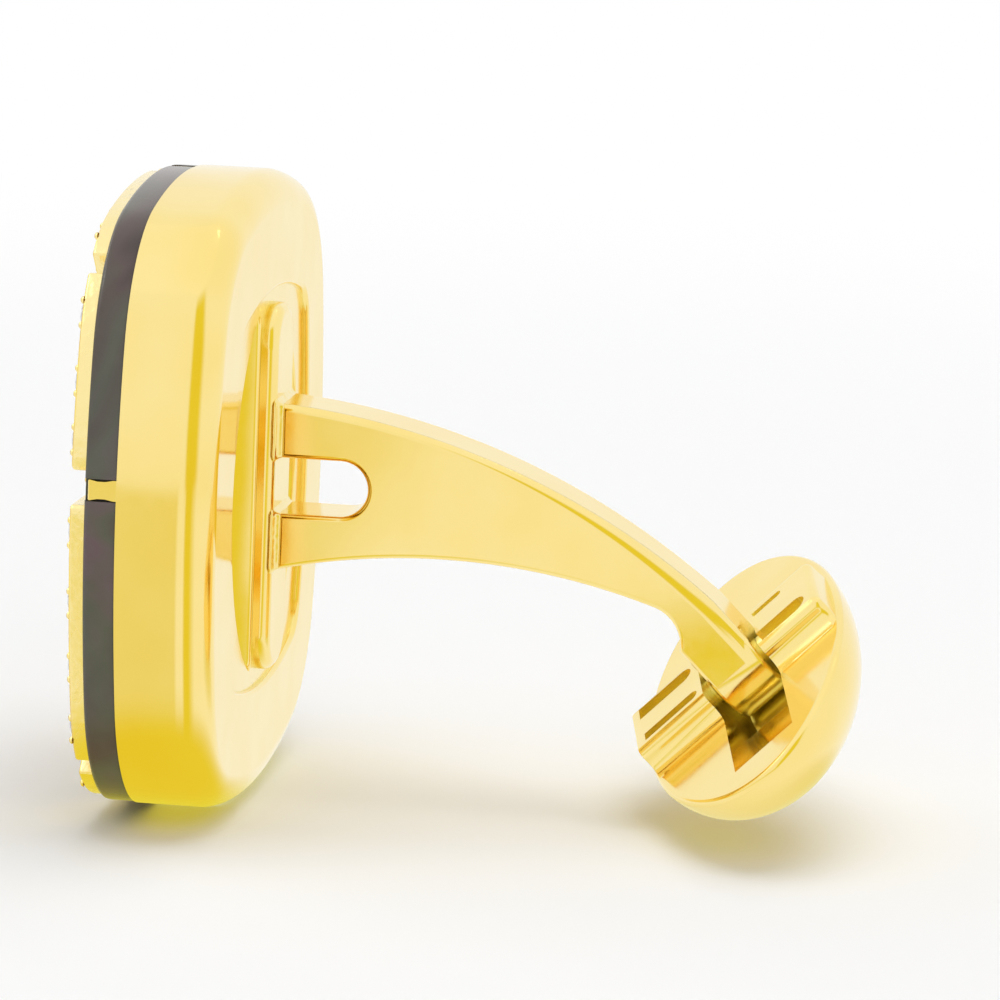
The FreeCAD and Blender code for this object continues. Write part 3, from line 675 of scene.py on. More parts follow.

# White stone, its brilliance painted in: each facet takes its own painted tone, from white to a pale
# grey, and small darker painted sparks break it up, a painted reflection of a brilliant throwing light
# back from some facets and not others.
FACET_PAINTED_LIGHT = "#F4F4F6"
FACET_PAINTED_DARK = "#C6C4CA"
SPARK_PAINTED_DARK = "#908E95"
SPARK = 0.11 * MM
SPARK_SHARE = (0.1, 0.3)
STONE_POLISH = 0.04
STONE_IOR = 2.42
round_stone, tree = new_material("white_brilliant")
# Painted reflection: each facet's tone, from white to pale grey, stands in for the light it throws back.
facet = add(tree, "Attribute", attribute_name="facet_painted_tone")
tone = add(
    tree, "Mix", {0: facet.outputs["Fac"], 6: colour(FACET_PAINTED_LIGHT), 7: colour(FACET_PAINTED_DARK)}, data_type="RGBA"
)
place = add(tree, "TexCoord").outputs["Object"]
# Painted reflection: small dark sparks over the facets.
spark = add(tree, "TexVoronoi", {"Vector": place, "Scale": 1 / SPARK})
lit = add(tree, "SeparateColor", {0: spark.outputs["Color"]})
low, high = SPARK_SHARE
back = add(tree, "MapRange", {"Value": lit.outputs["Red"], "From Min": low, "From Max": high})
tone = add(
    tree, "Mix", {0: back.outputs["Result"], 6: colour(SPARK_PAINTED_DARK), 7: tone.outputs[2]}, data_type="RGBA"
)
surface = add(
    tree,
    "BsdfPrincipled",
    {"Base Color": tone.outputs[2], "Roughness": STONE_POLISH, "IOR": STONE_IOR},
)
add(tree, "OutputMaterial", {"Surface": surface.outputs["BSDF"]})


def facets(count, first, tilt, reach, height):
    """Cut a ring of facets: the first at an angle round the stone, each tilted from flat."""
    for place in range(count):
        angle = math.radians(first + 360 * place / count)
        out = Vector((math.cos(angle), math.sin(angle), 0))
        up = math.copysign(math.cos(math.radians(tilt)), height)
        bpy.ops.mesh.select_all(action="SELECT")
        bpy.ops.mesh.bisect(
            plane_co=out * reach + Vector((0, 0, height)),
            plane_no=out * math.sin(math.radians(tilt)) + Vector((0, 0, up)),
            use_fill=True,
            clear_outer=True,
        )


girdle = STONE_GIRDLE / 2
crown_top = girdle + STONE_CROWN
kite_tilt = math.degrees(math.atan(STONE_CROWN / (STONE_RADIUS - STONE_TABLE)))
main_tilt = math.degrees(math.atan(STONE_PAVILION / STONE_RADIUS))
stone = begin(
    bpy.ops.mesh.primitive_cylinder_add,
    "stone",
    vertices=STONE_SIDES,
    radius=STONE_RADIUS,
    depth=STONE_CROWN + STONE_GIRDLE + STONE_PAVILION,
    location=(0, 0, (STONE_CROWN - STONE_PAVILION) / 2),
)
half_turn, star_turn = 360 / 32, 360 / 16
star_reach = STONE_TABLE * math.cos(math.radians(star_turn))
facets(8, 0, kite_tilt, STONE_RADIUS, girdle)
facets(16, half_turn, kite_tilt + HALF_TILT, STONE_RADIUS, girdle)
facets(8, star_turn, kite_tilt + STAR_TILT, star_reach, crown_top)
facets(8, 0, main_tilt, STONE_RADIUS, -girdle)
facets(16, half_turn, main_tilt + LOWER_HALF_TILT, STONE_RADIUS, -girdle)
tidy()
dice = random.Random(DICE_SEED)
to_front = Matrix.Rotation(FACING_FRONT[0], 4, "X")
rows = (("outer", OUTER_ROW, OUTER_SHARES), ("inner", INNER_ROW, INNER_SHARES))
for count, side in enumerate(SIDES):
    for name, inset, shares in rows:
        copies = []
        for share in shares:
            spin = Matrix.Rotation(dice.uniform(0, math.tau), 4, "Z")
            place = quarter(count).to_4x4() @ setting(inset, share, KEY_FRONT_Y + STONE_SINK)
            copies.append(copy_to(stone, place @ to_front @ spin))
        stones = gather(f"stones_{name}_{side}_cut", copies)
        hand_over(stones, round_stone, "link", [f"stones_{name}_{side}"], STONE_SMOOTH)
        # Each facet gets a random tone of painted reflection.
        tones = stones.data.attributes.new("facet_painted_tone", "FLOAT", "FACE")
        for tone in tones.data:
            tone.value = dice.random()
bpy.data.objects.remove(stone)

# Slab: a cushion of black mother-of-pearl, sawn flat, its front edge bevelled and polished. It lies on
# the plate, cut away where the segments are let in and notched at its edge for the case's straps.
slab_low, slab_high = spans("pearl_slab")
SLAB_INSET = 0.03
SLAB_EDGE = 0.12
SLAB_GAP = 0.006
NOTCH_HALF = 0.27
NOTCH_SINK = 0.02


def block(name, low, high):
    """A plain block between two corners, to cut with."""
    low, high = Vector(low), Vector(high)
    bpy.ops.object.select_all(action="DESELECT")
    bpy.ops.mesh.primitive_cube_add(size=1, location=(low + high) / 2, scale=high - low)
    bpy.ops.object.transform_apply(location=True, scale=True)
    return bpy.context.object


slab_back = RIM_Y - SLAB_GAP
slab = cushion("pearl_slab_polished", slab_back, SLAB_INSET)
extrude((0, slab_low.y + SLAB_EDGE - slab_back, 0))
round_edge(SLAB_EDGE, (0, -1, 0), EDGE_FACETS)
tidy()
for count in range(4):
    turn = quarter(count).to_4x4()
    pocket = key_outline("pocket", KEY_BACK_Y)
    extrude((0, KEY_FRONT_Y - KEY_BACK_Y, 0))
    tidy()
    pocket.matrix_world = turn
    carve(slab, pocket)
    notch = block(
        "notch",
        (CLAW_PLACE - NOTCH_HALF, slab_low.y - OVERRUN, CLAW_INNER - NOTCH_SINK),
        (CLAW_PLACE + NOTCH_HALF, slab_high.y + OVERRUN, CLAW_OUTER + OVERRUN),
    )
    notch.matrix_world = turn
    carve(slab, notch)

# Black mother-of-pearl: grey-brown nacre in slow bands that lean towards green and plum, under a
# polished surface. The bands are layers of shell, so they run roughly one way across the slab. Its
# colour is painted darker in the corners beside the segments: painted shade, where less light gets in.
NACRE = ("#3A322E", "#584A46", "#5A5B4F", "#69575B", "#6C625E")
NACRE_STOPS = (0.3, 0.42, 0.5, 0.58, 0.72)
NACRE_LEAN = math.radians(-14)
NACRE_STRETCH = (0.3, 1, 1)
NACRE_BAND = 5.5 * MM
BAND_SWIRL = 0.8
NACRE_GRAIN = 0.9 * MM
GRAIN_SWIRL = 0.4
NACRE_SHEEN = (0.86, 1.14)
SLAB_CORNER = 0.6 * MM
CORNER_SHADE = 0.3
PEARL_POLISH = 0.2
PEARL_IOR = 1.53
PEARL_GLOSS = 0.35
black_pearl, tree = new_material("black_mother_of_pearl")
place = add(tree, "TexCoord").outputs["Object"]
turned = add(
    tree, "Mapping", {"Vector": place, "Rotation": (0, NACRE_LEAN, 0), "Scale": NACRE_STRETCH}
).outputs["Vector"]
cloud = add(
    tree,
    "TexNoise",
    {"Vector": turned, "Scale": 1 / NACRE_BAND, "Detail": 3, "Distortion": BAND_SWIRL},
)
fibre = add(
    tree,
    "TexNoise",
    {"Vector": turned, "Scale": 1 / NACRE_GRAIN, "Detail": 2, "Distortion": GRAIN_SWIRL},
)
band = add(tree, "ValToRGB", {"Fac": cloud.outputs["Fac"]})
ramp = band.color_ramp
for stop in NACRE_STOPS[1:-1]:
    ramp.elements.new(stop)
for element, stop, code in zip(ramp.elements, NACRE_STOPS, NACRE):
    element.position = stop
    element.color = colour(code)
low, high = NACRE_SHEEN
sheen = add(tree, "MapRange", {"Value": fibre.outputs["Fac"], "To Min": low, "To Max": high})
tint = add(
    tree,
    "Mix",
    {0: 1.0, 6: band.outputs["Color"], 7: sheen.outputs["Result"]},
    data_type="RGBA",
    blend_type="MULTIPLY",
)
# Painted shade: the colour darkens where the occlusion finds the corners beside the segments.
hollow = add(tree, "AmbientOcclusion", {"Distance": SLAB_CORNER}, samples=8)
shade = add(
    tree, "MapRange", {"Value": hollow.outputs["AO"], "From Min": CORNER_SHADE, "To Min": CORNER_SHADE}
)
deep = add(
    tree,
    "Mix",
    {0: 1.0, 6: tint.outputs[2], 7: shade.outputs["Result"]},
    data_type="RGBA",
    blend_type="MULTIPLY",
)
surface = add(
    tree,
    "BsdfPrincipled",
    {
        "Base Color": deep.outputs[2],
        "Roughness": PEARL_POLISH,
        "IOR": PEARL_IOR,
        "Specular IOR Level": PEARL_GLOSS,
    },
)
add(tree, "OutputMaterial", {"Surface": surface.outputs["BSDF"]})
hand_over(slab, black_pearl, "link", ["pearl_slab"])

# Rail: a strip of the same gold with round ends and softened edges, soldered into the recess in the
# case's back. The post stands on it.
rail_low, rail_high = spans("back_rail")
RAIL_END = 1.05
RAIL_EDGE = 0.26
RAIL_FACETS = 5
BAR_STEPS = 12


def rounded_bar(name, low, high, y, radius):
    """Scribe an upright bar with rounded corners at a depth, from its lowest to its highest corner."""
    piece = scribe(name, (low.x, y, high.z - radius))
    for x, z, far in (
        (low.x + radius, high.z - radius, (high.x - radius, y, high.z)),
        (high.x - radius, high.z - radius, (high.x, y, low.z + radius)),
        (high.x - radius, low.z + radius, (low.x + radius, y, low.z)),
        (low.x + radius, low.z + radius, (low.x, y, high.z - radius)),
    ):
        arc((x, y, z), 90, BAR_STEPS)
        line(far)
    close()
    return piece


rail = rounded_bar("back_rail_polished", rail_low, rail_high, rail_low.y, RAIL_END)
extrude((0, rail_high.y - RAIL_EDGE - rail_low.y, 0))
round_edge(RAIL_EDGE, (0, 1, 0), RAIL_FACETS)
hand_over(rail, polished_gold, "link", ["back_rail"])

# Solder: where the post's two feet meet the rail, run in with a torch. It draws up into a soft fillet
# round each foot, not quite even.
ARM_HALF = spans("post_arm")[1].x
ROOT_TOP = 2.25
ROOT_BOTTOM = -1.95
FORK_HALF = 0.7
FORK_CENTRE = 0.18
FEET = ((FORK_CENTRE + FORK_HALF, ROOT_TOP), (ROOT_BOTTOM, FORK_CENTRE - FORK_HALF))
FILLET_WIDTH = 0.13
FILLET_SINK = 0.1
FILLET_CORNER = 0.2
FILLET_STEPS = ((0.05, 0.02), (0.04, 0.03), (0.03, 0.05), (0.02, 0.08))
SOLDER_MESH = 0.03
SOLDER_LUMP = 0.45
SOLDER_RISE = 0.035
SOLDER_SMOOTH = 60

# Gold solder, as it froze: a little paler than the plate, with small pits that catch the light.
SOLDER_GOLD = "#FBE59A"
SOLDER_DULL = 0.16
SOLDER_PIT = 0.16 * MM
PIT_DEPTH = 0.04 * MM
PIT_STRENGTH = 0.15
gold_solder, tree = new_material("frozen_gold_solder")
place = add(tree, "TexCoord").outputs["Object"]
pit = add(tree, "TexNoise", {"Vector": place, "Scale": 1 / SOLDER_PIT, "Detail": 2})
bump = add(tree, "Bump", {"Height": pit.outputs["Fac"], "Strength": PIT_STRENGTH, "Distance": PIT_DEPTH})
surface = add(
    tree,
    "BsdfPrincipled",
    {
        "Base Color": colour(SOLDER_GOLD),
        "Metallic": 1.0,
        "Roughness": SOLDER_DULL,
        "Normal": bump.outputs["Normal"],
    },
)
add(tree, "OutputMaterial", {"Surface": surface.outputs["BSDF"]})

mounds = []
for low, high in FEET:
    near = Vector((-ARM_HALF - FILLET_WIDTH, 0, low - FILLET_WIDTH))
    far = Vector((ARM_HALF + FILLET_WIDTH, 0, high + FILLET_WIDTH))
    mounds.append(rounded_bar("mound", near, far, rail_high.y - FILLET_SINK, FILLET_CORNER))
    extrude((0, FILLET_SINK, 0))
    for inward, rise in FILLET_STEPS:
        step(inward, (0, rise, 0))
    tidy()
solder = gather("post_solder_frozen", mounds)
apply(solder, "REMESH", mode="VOXEL", voxel_size=SOLDER_MESH)
lumps = bpy.data.textures.new("solder_lumps", "CLOUDS")
lumps.noise_scale = SOLDER_LUMP
apply(solder, "DISPLACE", texture=lumps, strength=SOLDER_RISE, mid_level=0.5)
apply(solder, "SMOOTH", factor=0.5, iterations=8)
hand_over(solder, gold_solder, "link", ["post_solder"], SOLDER_SMOOTH)

# Post: a flat curved arm of cast gold, forked at its root, with a knuckle at its end for the pin.
# Its edges are broken with a buff, more and more along the top towards the knuckle.
SIDEWAYS = Vector((1, 0, 0))
joint = frame["joints"][0]
PIVOT = Vector(joint["pos_m"]) / MM
PIN_WAY = -Vector(joint["axis"]).normalized()
BACK_WAY = SIDEWAYS.cross(PIN_WAY)
ROOT_Y = spans("post_arm")[0].y
ROOT_HIGH = Vector((0, ROOT_Y, ROOT_TOP))
ROOT_LOW = Vector((0, ROOT_Y, ROOT_BOTTOM))
UPPER_BOW = 0.9
UPPER_STEPS = 40
LOWER_BOW = 0.68
LOWER_STEPS = 36
FORK_REACH = 2.62
FORK_STEPS = 20
NECK_HALF = 0.735
NECK_LENGTH = 1.75
SHOULDER = 1.4
NOTCH = 2.6
NOTCH_INSET = 0.3
NOTCH_BOW = 0.21
NOTCH_STEPS = 8
EDGE_BREAK = 0.42
EDGE_BREAK_SHARE = 0.3
TOP_BREAK_SHARE = 0.2
BREAK_FACETS = 5
BREAK_PROFILE = 0.4
KNUCKLE_EDGE = 0.12
KNUCKLE_SIDES = 64
BORE = 0.38
BORE_SIDES = 40


def bow(end, rise, steps, axis):
    """Carry the outline on along an arc that stands off its chord by a rise."""
    mesh = bmesh.from_edit_mesh(bpy.context.object.data)
    here = next(vert.co.copy() for vert in mesh.verts if vert.select)
    chord = end - here
    side = Vector(axis).cross(chord).normalized() * math.copysign(1, rise)
    height = abs(rise)
    radius = (chord.length**2 / 4 + height**2) / (2 * height)
    sweep = 2 * math.degrees(math.asin(chord.length / (2 * radius)))
    centre = (here + end) / 2 + side * (height - radius)
    arc(centre, -math.copysign(sweep, rise), steps, axis)


def by_pivot(along, behind):
    """A point near the pivot, along the pin and back from it."""
    return PIVOT + PIN_WAY * along + BACK_WAY * behind


neck_high = by_pivot(NECK_HALF, NECK_LENGTH)
arm = scribe("post_arm_polished", ROOT_HIGH)
bow(neck_high, UPPER_BOW, UPPER_STEPS, SIDEWAYS)
line(by_pivot(NECK_HALF, 0))
line(by_pivot(-NECK_HALF, 0))
line(by_pivot(-NECK_HALF, SHOULDER))
bow(by_pivot(NOTCH_INSET - NECK_HALF, NOTCH), -NOTCH_BOW, NOTCH_STEPS, SIDEWAYS)
bow(ROOT_LOW, -LOWER_BOW, LOWER_STEPS, SIDEWAYS)
line((0, ROOT_Y, FORK_CENTRE - FORK_HALF))
line((0, FORK_REACH - FORK_HALF, FORK_CENTRE - FORK_HALF))
arc((0, FORK_REACH - FORK_HALF, FORK_CENTRE), 180, FORK_STEPS, SIDEWAYS)
line((0, ROOT_Y, FORK_CENTRE + FORK_HALF))
close()
bpy.ops.transform.translate(value=(-ARM_HALF, 0, 0))
extrude((2 * ARM_HALF, 0, 0))
tidy()
slope = (neck_high.z - ROOT_HIGH.z) / (neck_high.y - ROOT_HIGH.y)
mesh = bmesh.new()
mesh.from_mesh(arm.data)
weight = mesh.edges.layers.float.new("bevel_weight_edge")
for edge in mesh.edges:
    middle = (edge.verts[0].co + edge.verts[1].co) / 2
    if abs(abs(middle.x) - ARM_HALF) < CLOSE_BY:
        upper = middle.z > ROOT_HIGH.z + slope * (middle.y - ROOT_HIGH.y) - CLOSE_BY
        neck = (middle - PIVOT).dot(PIN_WAY) > NECK_HALF - CLOSE_BY
        along = (middle.y - ROOT_Y) / (neck_high.y - ROOT_Y)
        edge[weight] = EDGE_BREAK_SHARE
        if upper or neck:
            edge[weight] += (1 - EDGE_BREAK_SHARE) * max(TOP_BREAK_SHARE, min(1, along) ** 2)
mesh.to_mesh(arm.data)
mesh.free()
apply(
    arm,
    "BEVEL",
    width=EDGE_BREAK,
    segments=BREAK_FACETS,
    limit_method="WEIGHT",
    use_clamp_overlap=False,
    profile=BREAK_PROFILE,
)


def rod(name, radius, start, end, sides, edge):
    """A round rod between two points, with its end edges broken."""
    way = end - start
    bpy.ops.object.select_all(action="DESELECT")
    bpy.ops.mesh.primitive_cylinder_add(vertices=sides, radius=radius, depth=way.length)
    piece = bpy.context.object
    piece.name = name
    piece.location = (start + end) / 2
    piece.rotation_euler = way.to_track_quat("Z", "Y").to_euler()
    bpy.ops.object.transform_apply(location=True, rotation=True)
    bpy.ops.object.mode_set(mode="EDIT")
    pick("EDGE", lambda rim: abs((rim.verts[0].co - rim.verts[1].co).dot(way)) < CLOSE_BY)
    bpy.ops.mesh.bevel(offset=edge, segments=EDGE_FACETS, affect="EDGES")
    tidy()
    return piece


start, end = by_pivot(-NECK_HALF, 0), by_pivot(NECK_HALF, 0)
carve(arm, rod("knuckle", ARM_HALF, start, end, KNUCKLE_SIDES, KNUCKLE_EDGE), "UNION")
tidy()
start, end = by_pivot(-2 * NECK_HALF, 0), by_pivot(2 * NECK_HALF, 0)
carve(arm, rod("bore", BORE, start, end, BORE_SIDES, KNUCKLE_EDGE))
hand_over(arm, polished_gold, "link", ["post_arm"])

# Toggle: a boat-shaped bar cast in gold, half an ellipsoid with two lugs across it. A socket is milled
# between the lugs for the knuckle, a slot runs along it for the post, and two grooves of different
# widths run along the top of each lug.
TOGGLE_TILT = 16.0
TOGGLE_PLACE = (
    Matrix.Translation(PIVOT)
    @ Matrix((SIDEWAYS, PIN_WAY, BACK_WAY)).transposed().to_4x4()
    @ Matrix.Rotation(math.radians(TOGGLE_TILT), 4, "Y")
)
HULL_RADII = (6.095, 3.195, 2.565)
HULL_CENTRE = Vector((0, -0.15, -0.13))
HULL_SIDES = 112
HULL_RIM = 0.15
RIM_FACETS = 4
LUG_HALF = 1.3
LUG_TOP = 0.6
LUG_OPEN_Y = -3.15
LUG_BLIND_Y = 2.85
LUG_ROOT = 0.6
LUG_FLARE = 0.42
LUG_EDGE = 0.26
LUG_EDGE_STEPS = 6
LUG_FLARE_STEPS = 8
LUG_OPEN_EDGE = 0.06
LUG_OPEN_FACETS = 2
LUG_BLIND_EDGE = 0.2
LUG_BLIND_FACETS = 5
SOCKET_LOW = Vector((-1.4, -0.935, -1.95))
SOCKET_HIGH = Vector((1.55, 0.935, 1.1))
SLOT_LOW = Vector((0, -0.935, -0.95))
SLOT_HIGH = Vector((4.8, 0.935, 1.1))
GROOVE_PLACE = 0.74
GROOVE_SIDES = 24
# Each groove's place along the toggle, its start and end across it, its half width and its depth.
GROOVES = (
    (GROOVE_PLACE, 0.6, 2.5, 0.33, 0.5),
    (-GROOVE_PLACE, 0.6, 1.9, 0.12, 0.2),
    (-GROOVE_PLACE, -2.9, -1.15, 0.3, 0.45),
    (GROOVE_PLACE, -2.85, -1.1, 0.2, 0.35),
)
BLIND_WALL = 0.35
PIN_RADIUS = 0.35
PIN_SEAT = 0.355
PIN_SEAT_SIDES = 32

toggle = begin(
    bpy.ops.mesh.primitive_uv_sphere_add,
    "toggle_shell_polished",
    segments=HULL_SIDES,
    ring_count=HULL_SIDES // 2,
    radius=1,
)
bpy.ops.mesh.bisect(plane_co=(0, 0, 0), plane_no=(0, 0, 1), use_fill=True, clear_outer=True)
bpy.ops.mesh.select_all(action="SELECT")
bpy.ops.transform.resize(value=HULL_RADII, center_override=(0, 0, 0))
bpy.ops.transform.translate(value=HULL_CENTRE)
pick("EDGE", lambda edge: all(abs(vert.co.z - HULL_CENTRE.z) < CLOSE_BY for vert in edge.verts))
bpy.ops.mesh.bevel(offset=HULL_RIM, segments=RIM_FACETS, affect="EDGES")
tidy()

lug_foot = HULL_CENTRE.z
lug_start = LUG_OPEN_Y + LUG_OPEN_EDGE
lug_wide = LUG_HALF + LUG_FLARE
lugs = scribe("lugs", (-lug_wide, lug_start, -LUG_ROOT))
line((-lug_wide, lug_start, lug_foot))
arc((-lug_wide, lug_start, lug_foot + LUG_FLARE), -90, LUG_FLARE_STEPS)
line((-LUG_HALF, lug_start, LUG_TOP - LUG_EDGE))
arc((-LUG_HALF + LUG_EDGE, lug_start, LUG_TOP - LUG_EDGE), 90, LUG_EDGE_STEPS)
line((LUG_HALF - LUG_EDGE, lug_start, LUG_TOP))
arc((LUG_HALF - LUG_EDGE, lug_start, LUG_TOP - LUG_EDGE), 90, LUG_EDGE_STEPS)
line((LUG_HALF, lug_start, lug_foot + LUG_FLARE))
arc((lug_wide, lug_start, lug_foot + LUG_FLARE), -90, LUG_FLARE_STEPS)
line((lug_wide, lug_start, -LUG_ROOT))
close()
extrude((0, LUG_BLIND_Y - LUG_BLIND_EDGE - lug_start, 0))
round_edge(LUG_BLIND_EDGE, (0, 1, 0), LUG_BLIND_FACETS)
pick("FACE", lambda face: face.calc_center_median().y < lug_start + CLOSE_BY)
round_edge(LUG_OPEN_EDGE, (0, -1, 0), LUG_OPEN_FACETS)
tidy()
carve(toggle, lugs, "UNION")
# The slot is cut before the socket, which keeps its floor one flat face.
carve(toggle, block("slot", SLOT_LOW, SLOT_HIGH))
carve(toggle, block("socket", SOCKET_LOW, SOCKET_HIGH))
for x, start, end, half, deep in GROOVES:
    bottom, top = LUG_TOP - deep, LUG_TOP + OVERRUN
    carve(toggle, block("groove", (x - half, start, bottom), (x + half, end - half, top)))
    foot = Vector((x, end - half, bottom))
    head = foot + Vector((0, 0, deep + OVERRUN))
    carve(toggle, rod("groove_end", half, foot, head, GROOVE_SIDES, LUG_OPEN_EDGE))
pin_end = Vector((0, LUG_BLIND_Y - BLIND_WALL, 0))
start = Vector((0, LUG_OPEN_Y - OVERRUN, 0))
carve(toggle, rod("pin_seat", PIN_SEAT, start, pin_end, PIN_SEAT_SIDES, LUG_OPEN_EDGE))
toggle.matrix_world = TOGGLE_PLACE
hand_over(toggle, polished_gold, "toggle", ["toggle_shell"])

# Pin: a plain gold rod with broken edges, driven through the lugs and the knuckle from the open end.
# The lugs hold it, and the knuckle turns on it.
PIN_EDGE = 0.06
PIN_SIDES = 40
pin = rod("pivot_pin_polished", PIN_RADIUS, Vector((0, LUG_OPEN_Y, 0)), pin_end, PIN_SIDES, PIN_EDGE)
pin.matrix_world = TOGGLE_PLACE
hand_over(pin, polished_gold, "toggle", ["pivot_pin"])

# The hidden solids keep their own shapes: the plate and the pegs in gold, the bed of cement under the
# slab, and the steel leaf spring in the toggle's pocket, gold plated like the rest.

# Dark jeweller's cement: it sets dull and near black, with a fine uneven sheen from its filler.
CEMENT_GREY = "#2B2A29"
CEMENT_GRAIN = 0.3 * MM
CEMENT_DULL = (0.5, 0.75)
dark_cement, tree = new_material("dark_jeweller_cement")
place = add(tree, "TexCoord").outputs["Object"]
filler = add(tree, "TexNoise", {"Vector": place, "Scale": 1 / CEMENT_GRAIN, "Detail": 2})
low, high = CEMENT_DULL
dull = add(tree, "MapRange", {"Value": filler.outputs["Fac"], "To Min": low, "To Max": high})
surface = add(
    tree, "BsdfPrincipled", {"Base Color": colour(CEMENT_GREY), "Roughness": dull.outputs["Result"]}
)
add(tree, "OutputMaterial", {"Surface": surface.outputs["BSDF"]})
kept = {"seat_plate": polished_gold, "adhesive_bed": dark_cement, "leaf_spring": polished_gold}
kept.update({f"pegs_{side}": polished_gold for side in SIDES})
for name, material in kept.items():
    node = frame["nodes"][name]
    node.data.materials.clear()
    node.data.materials.append(material)

# Stage: a plain pale floor that runs out to white, a white studio round it, and soft lamps. The studio
# is full white where it is seen or mirrored and dimmer as light, so that the lamps keep a soft shadow.
FLOOR_SIZE = 6.0
FLOOR_PALE = "#F4F4F4"
FLOOR_NEAR = 25 * MM
FLOOR_FAR = 140 * MM
STUDIO_LIGHT = 0.55
floor_z = cad_box[0].z
bpy.ops.object.select_all(action="DESELECT")
bpy.ops.mesh.primitive_plane_add(size=FLOOR_SIZE, location=(0, 0, floor_z))
floor = bpy.context.object
floor.name = "floor"
bpy.ops.object.transform_apply(location=True)


def seen(tree):
    """A socket that is 1 for what the camera sees, straight on or in a polished surface, and 0 as light."""
    path = add(tree, "LightPath").outputs
    shown = path["Is Camera Ray"]
    for ray in ("Is Glossy Ray", "Is Transmission Ray"):
        shown = add(tree, "Math", {0: shown, 1: path[ray]}, operation="MAXIMUM").outputs[0]
    return shown


pale_floor, tree = new_material("pale_floor")
paint = add(tree, "BsdfDiffuse", {"Color": colour(FLOOR_PALE)})
white = add(tree, "Emission", {"Color": (1, 1, 1, 1), "Strength": 1.0})
reach = add(tree, "VectorMath", {0: add(tree, "TexCoord").outputs["Object"]}, operation="LENGTH")
fade = add(
    tree,
    "MapRange",
    {"Value": reach.outputs["Value"], "From Min": FLOOR_NEAR, "From Max": FLOOR_FAR, "To Max": seen(tree)},
    interpolation_type="SMOOTHSTEP",
)
run_out = add(tree, "MixShader", {0: fade.outputs["Result"], 1: paint.outputs[0], 2: white.outputs[0]})
add(tree, "OutputMaterial", {"Surface": run_out.outputs[0]})
floor.data.materials.append(pale_floor)

world = bpy.data.worlds.new("white_studio")
bpy.context.scene.world = world
world.use_nodes = True
tree = world.node_tree
tree.nodes.clear()
strength = add(tree, "MapRange", {"Value": seen(tree), "To Min": STUDIO_LIGHT})
sky = add(tree, "Background", {"Color": (1, 1, 1, 1), "Strength": strength.outputs["Result"]})
add(tree, "OutputWorld", {"Surface": sky.outputs["Background"]})

# The lamps face the middle of the object. Each has its place and size in metres, its power in watts, and
# whether it lights what is dull and whether polish shows it: the glints are only mirrored.
LAMPS = (
    ("overhead", (0.02, 0.02, 0.32), (0.26, 0.26), 0.45, True, False),
    ("right", (0.26, 0.1, 0.2), (0.16, 0.16), 0.1, True, False),
    ("front", (-0.12, -0.3, 0.2), (0.16, 0.16), 0.1, True, False),
    ("lug_glint", (0.12, -0.3, 0.23), (0.1, 0.1), 0.2, False, True),
    ("rim_glint", (0.05, -0.27, 0.29), (0.06, 0.06), 0.2, False, True),
    ("key_glint", (-0.14, -0.28, 0.2), (0.07, 0.07), 0.17, False, True),
    ("ridge", (-0.15, 0.09, 0.25), (0.2, 0.03), 0.1, True, True),
)
for name, place, size, power, lights, mirrored in LAMPS:
    lamp = bpy.data.objects.new(name, bpy.data.lights.new(name, "AREA"))
    bpy.context.scene.collection.objects.link(lamp)
    lamp.data.shape = "RECTANGLE"
    lamp.data.size, lamp.data.size_y = size
    lamp.data.energy = power
    lamp.location = place
    lamp.rotation_euler = (-Vector(place)).to_track_quat("-Z", "Y").to_euler()
    lamp.visible_diffuse = lights
    lamp.visible_glossy = mirrored

# Gold reflector paper, as a jewellery studio uses it: a round sheet on the floor, a wall round it and two
# small pads under the object, white but for warm and deep gold parts. The wall turns white with height.
# Only polished surfaces show the paper, as soft deeper stripes. The parts go by degrees about a centre.
PAPER_WHITE = "#FCFCFB"
PAPER_WARM = "#EFE8AE"
PAPER_DEEP = "#EADD50"
PAPER_CENTRE = (6 * MM, -1 * MM)
PAPER_RADIUS = 160 * MM
PAPER_SIDES = 96
SHEET_LIFT = 0.05 * MM
PAD_LIFT = 0.1 * MM
WALL_HEIGHT = 250 * MM
WALL_FADE = (55 * MM, 125 * MM)
PADS = (
    ((6 * MM, -1.2 * MM), 2.5 * MM, 8 * MM, PAPER_DEEP),
    ((0, 13.5 * MM), 2 * MM, 7 * MM, PAPER_WARM),
)
FLOOR_PARTS = (
    (-50, PAPER_WHITE), (-24, PAPER_WARM), (-9, PAPER_WARM), (-3, PAPER_WHITE),
    (17, PAPER_WHITE), (24, PAPER_DEEP), (38, PAPER_DEEP), (56, PAPER_WHITE),
)
WALL_PARTS = ((10, PAPER_WHITE), (19, PAPER_DEEP), (48, PAPER_DEEP), (60, PAPER_WHITE))


def only_mirrored(piece):
    """Keep a stage piece out of everything but reflections."""
    piece.visible_camera = False
    piece.visible_diffuse = False
    piece.visible_shadow = False
    piece.visible_transmission = False


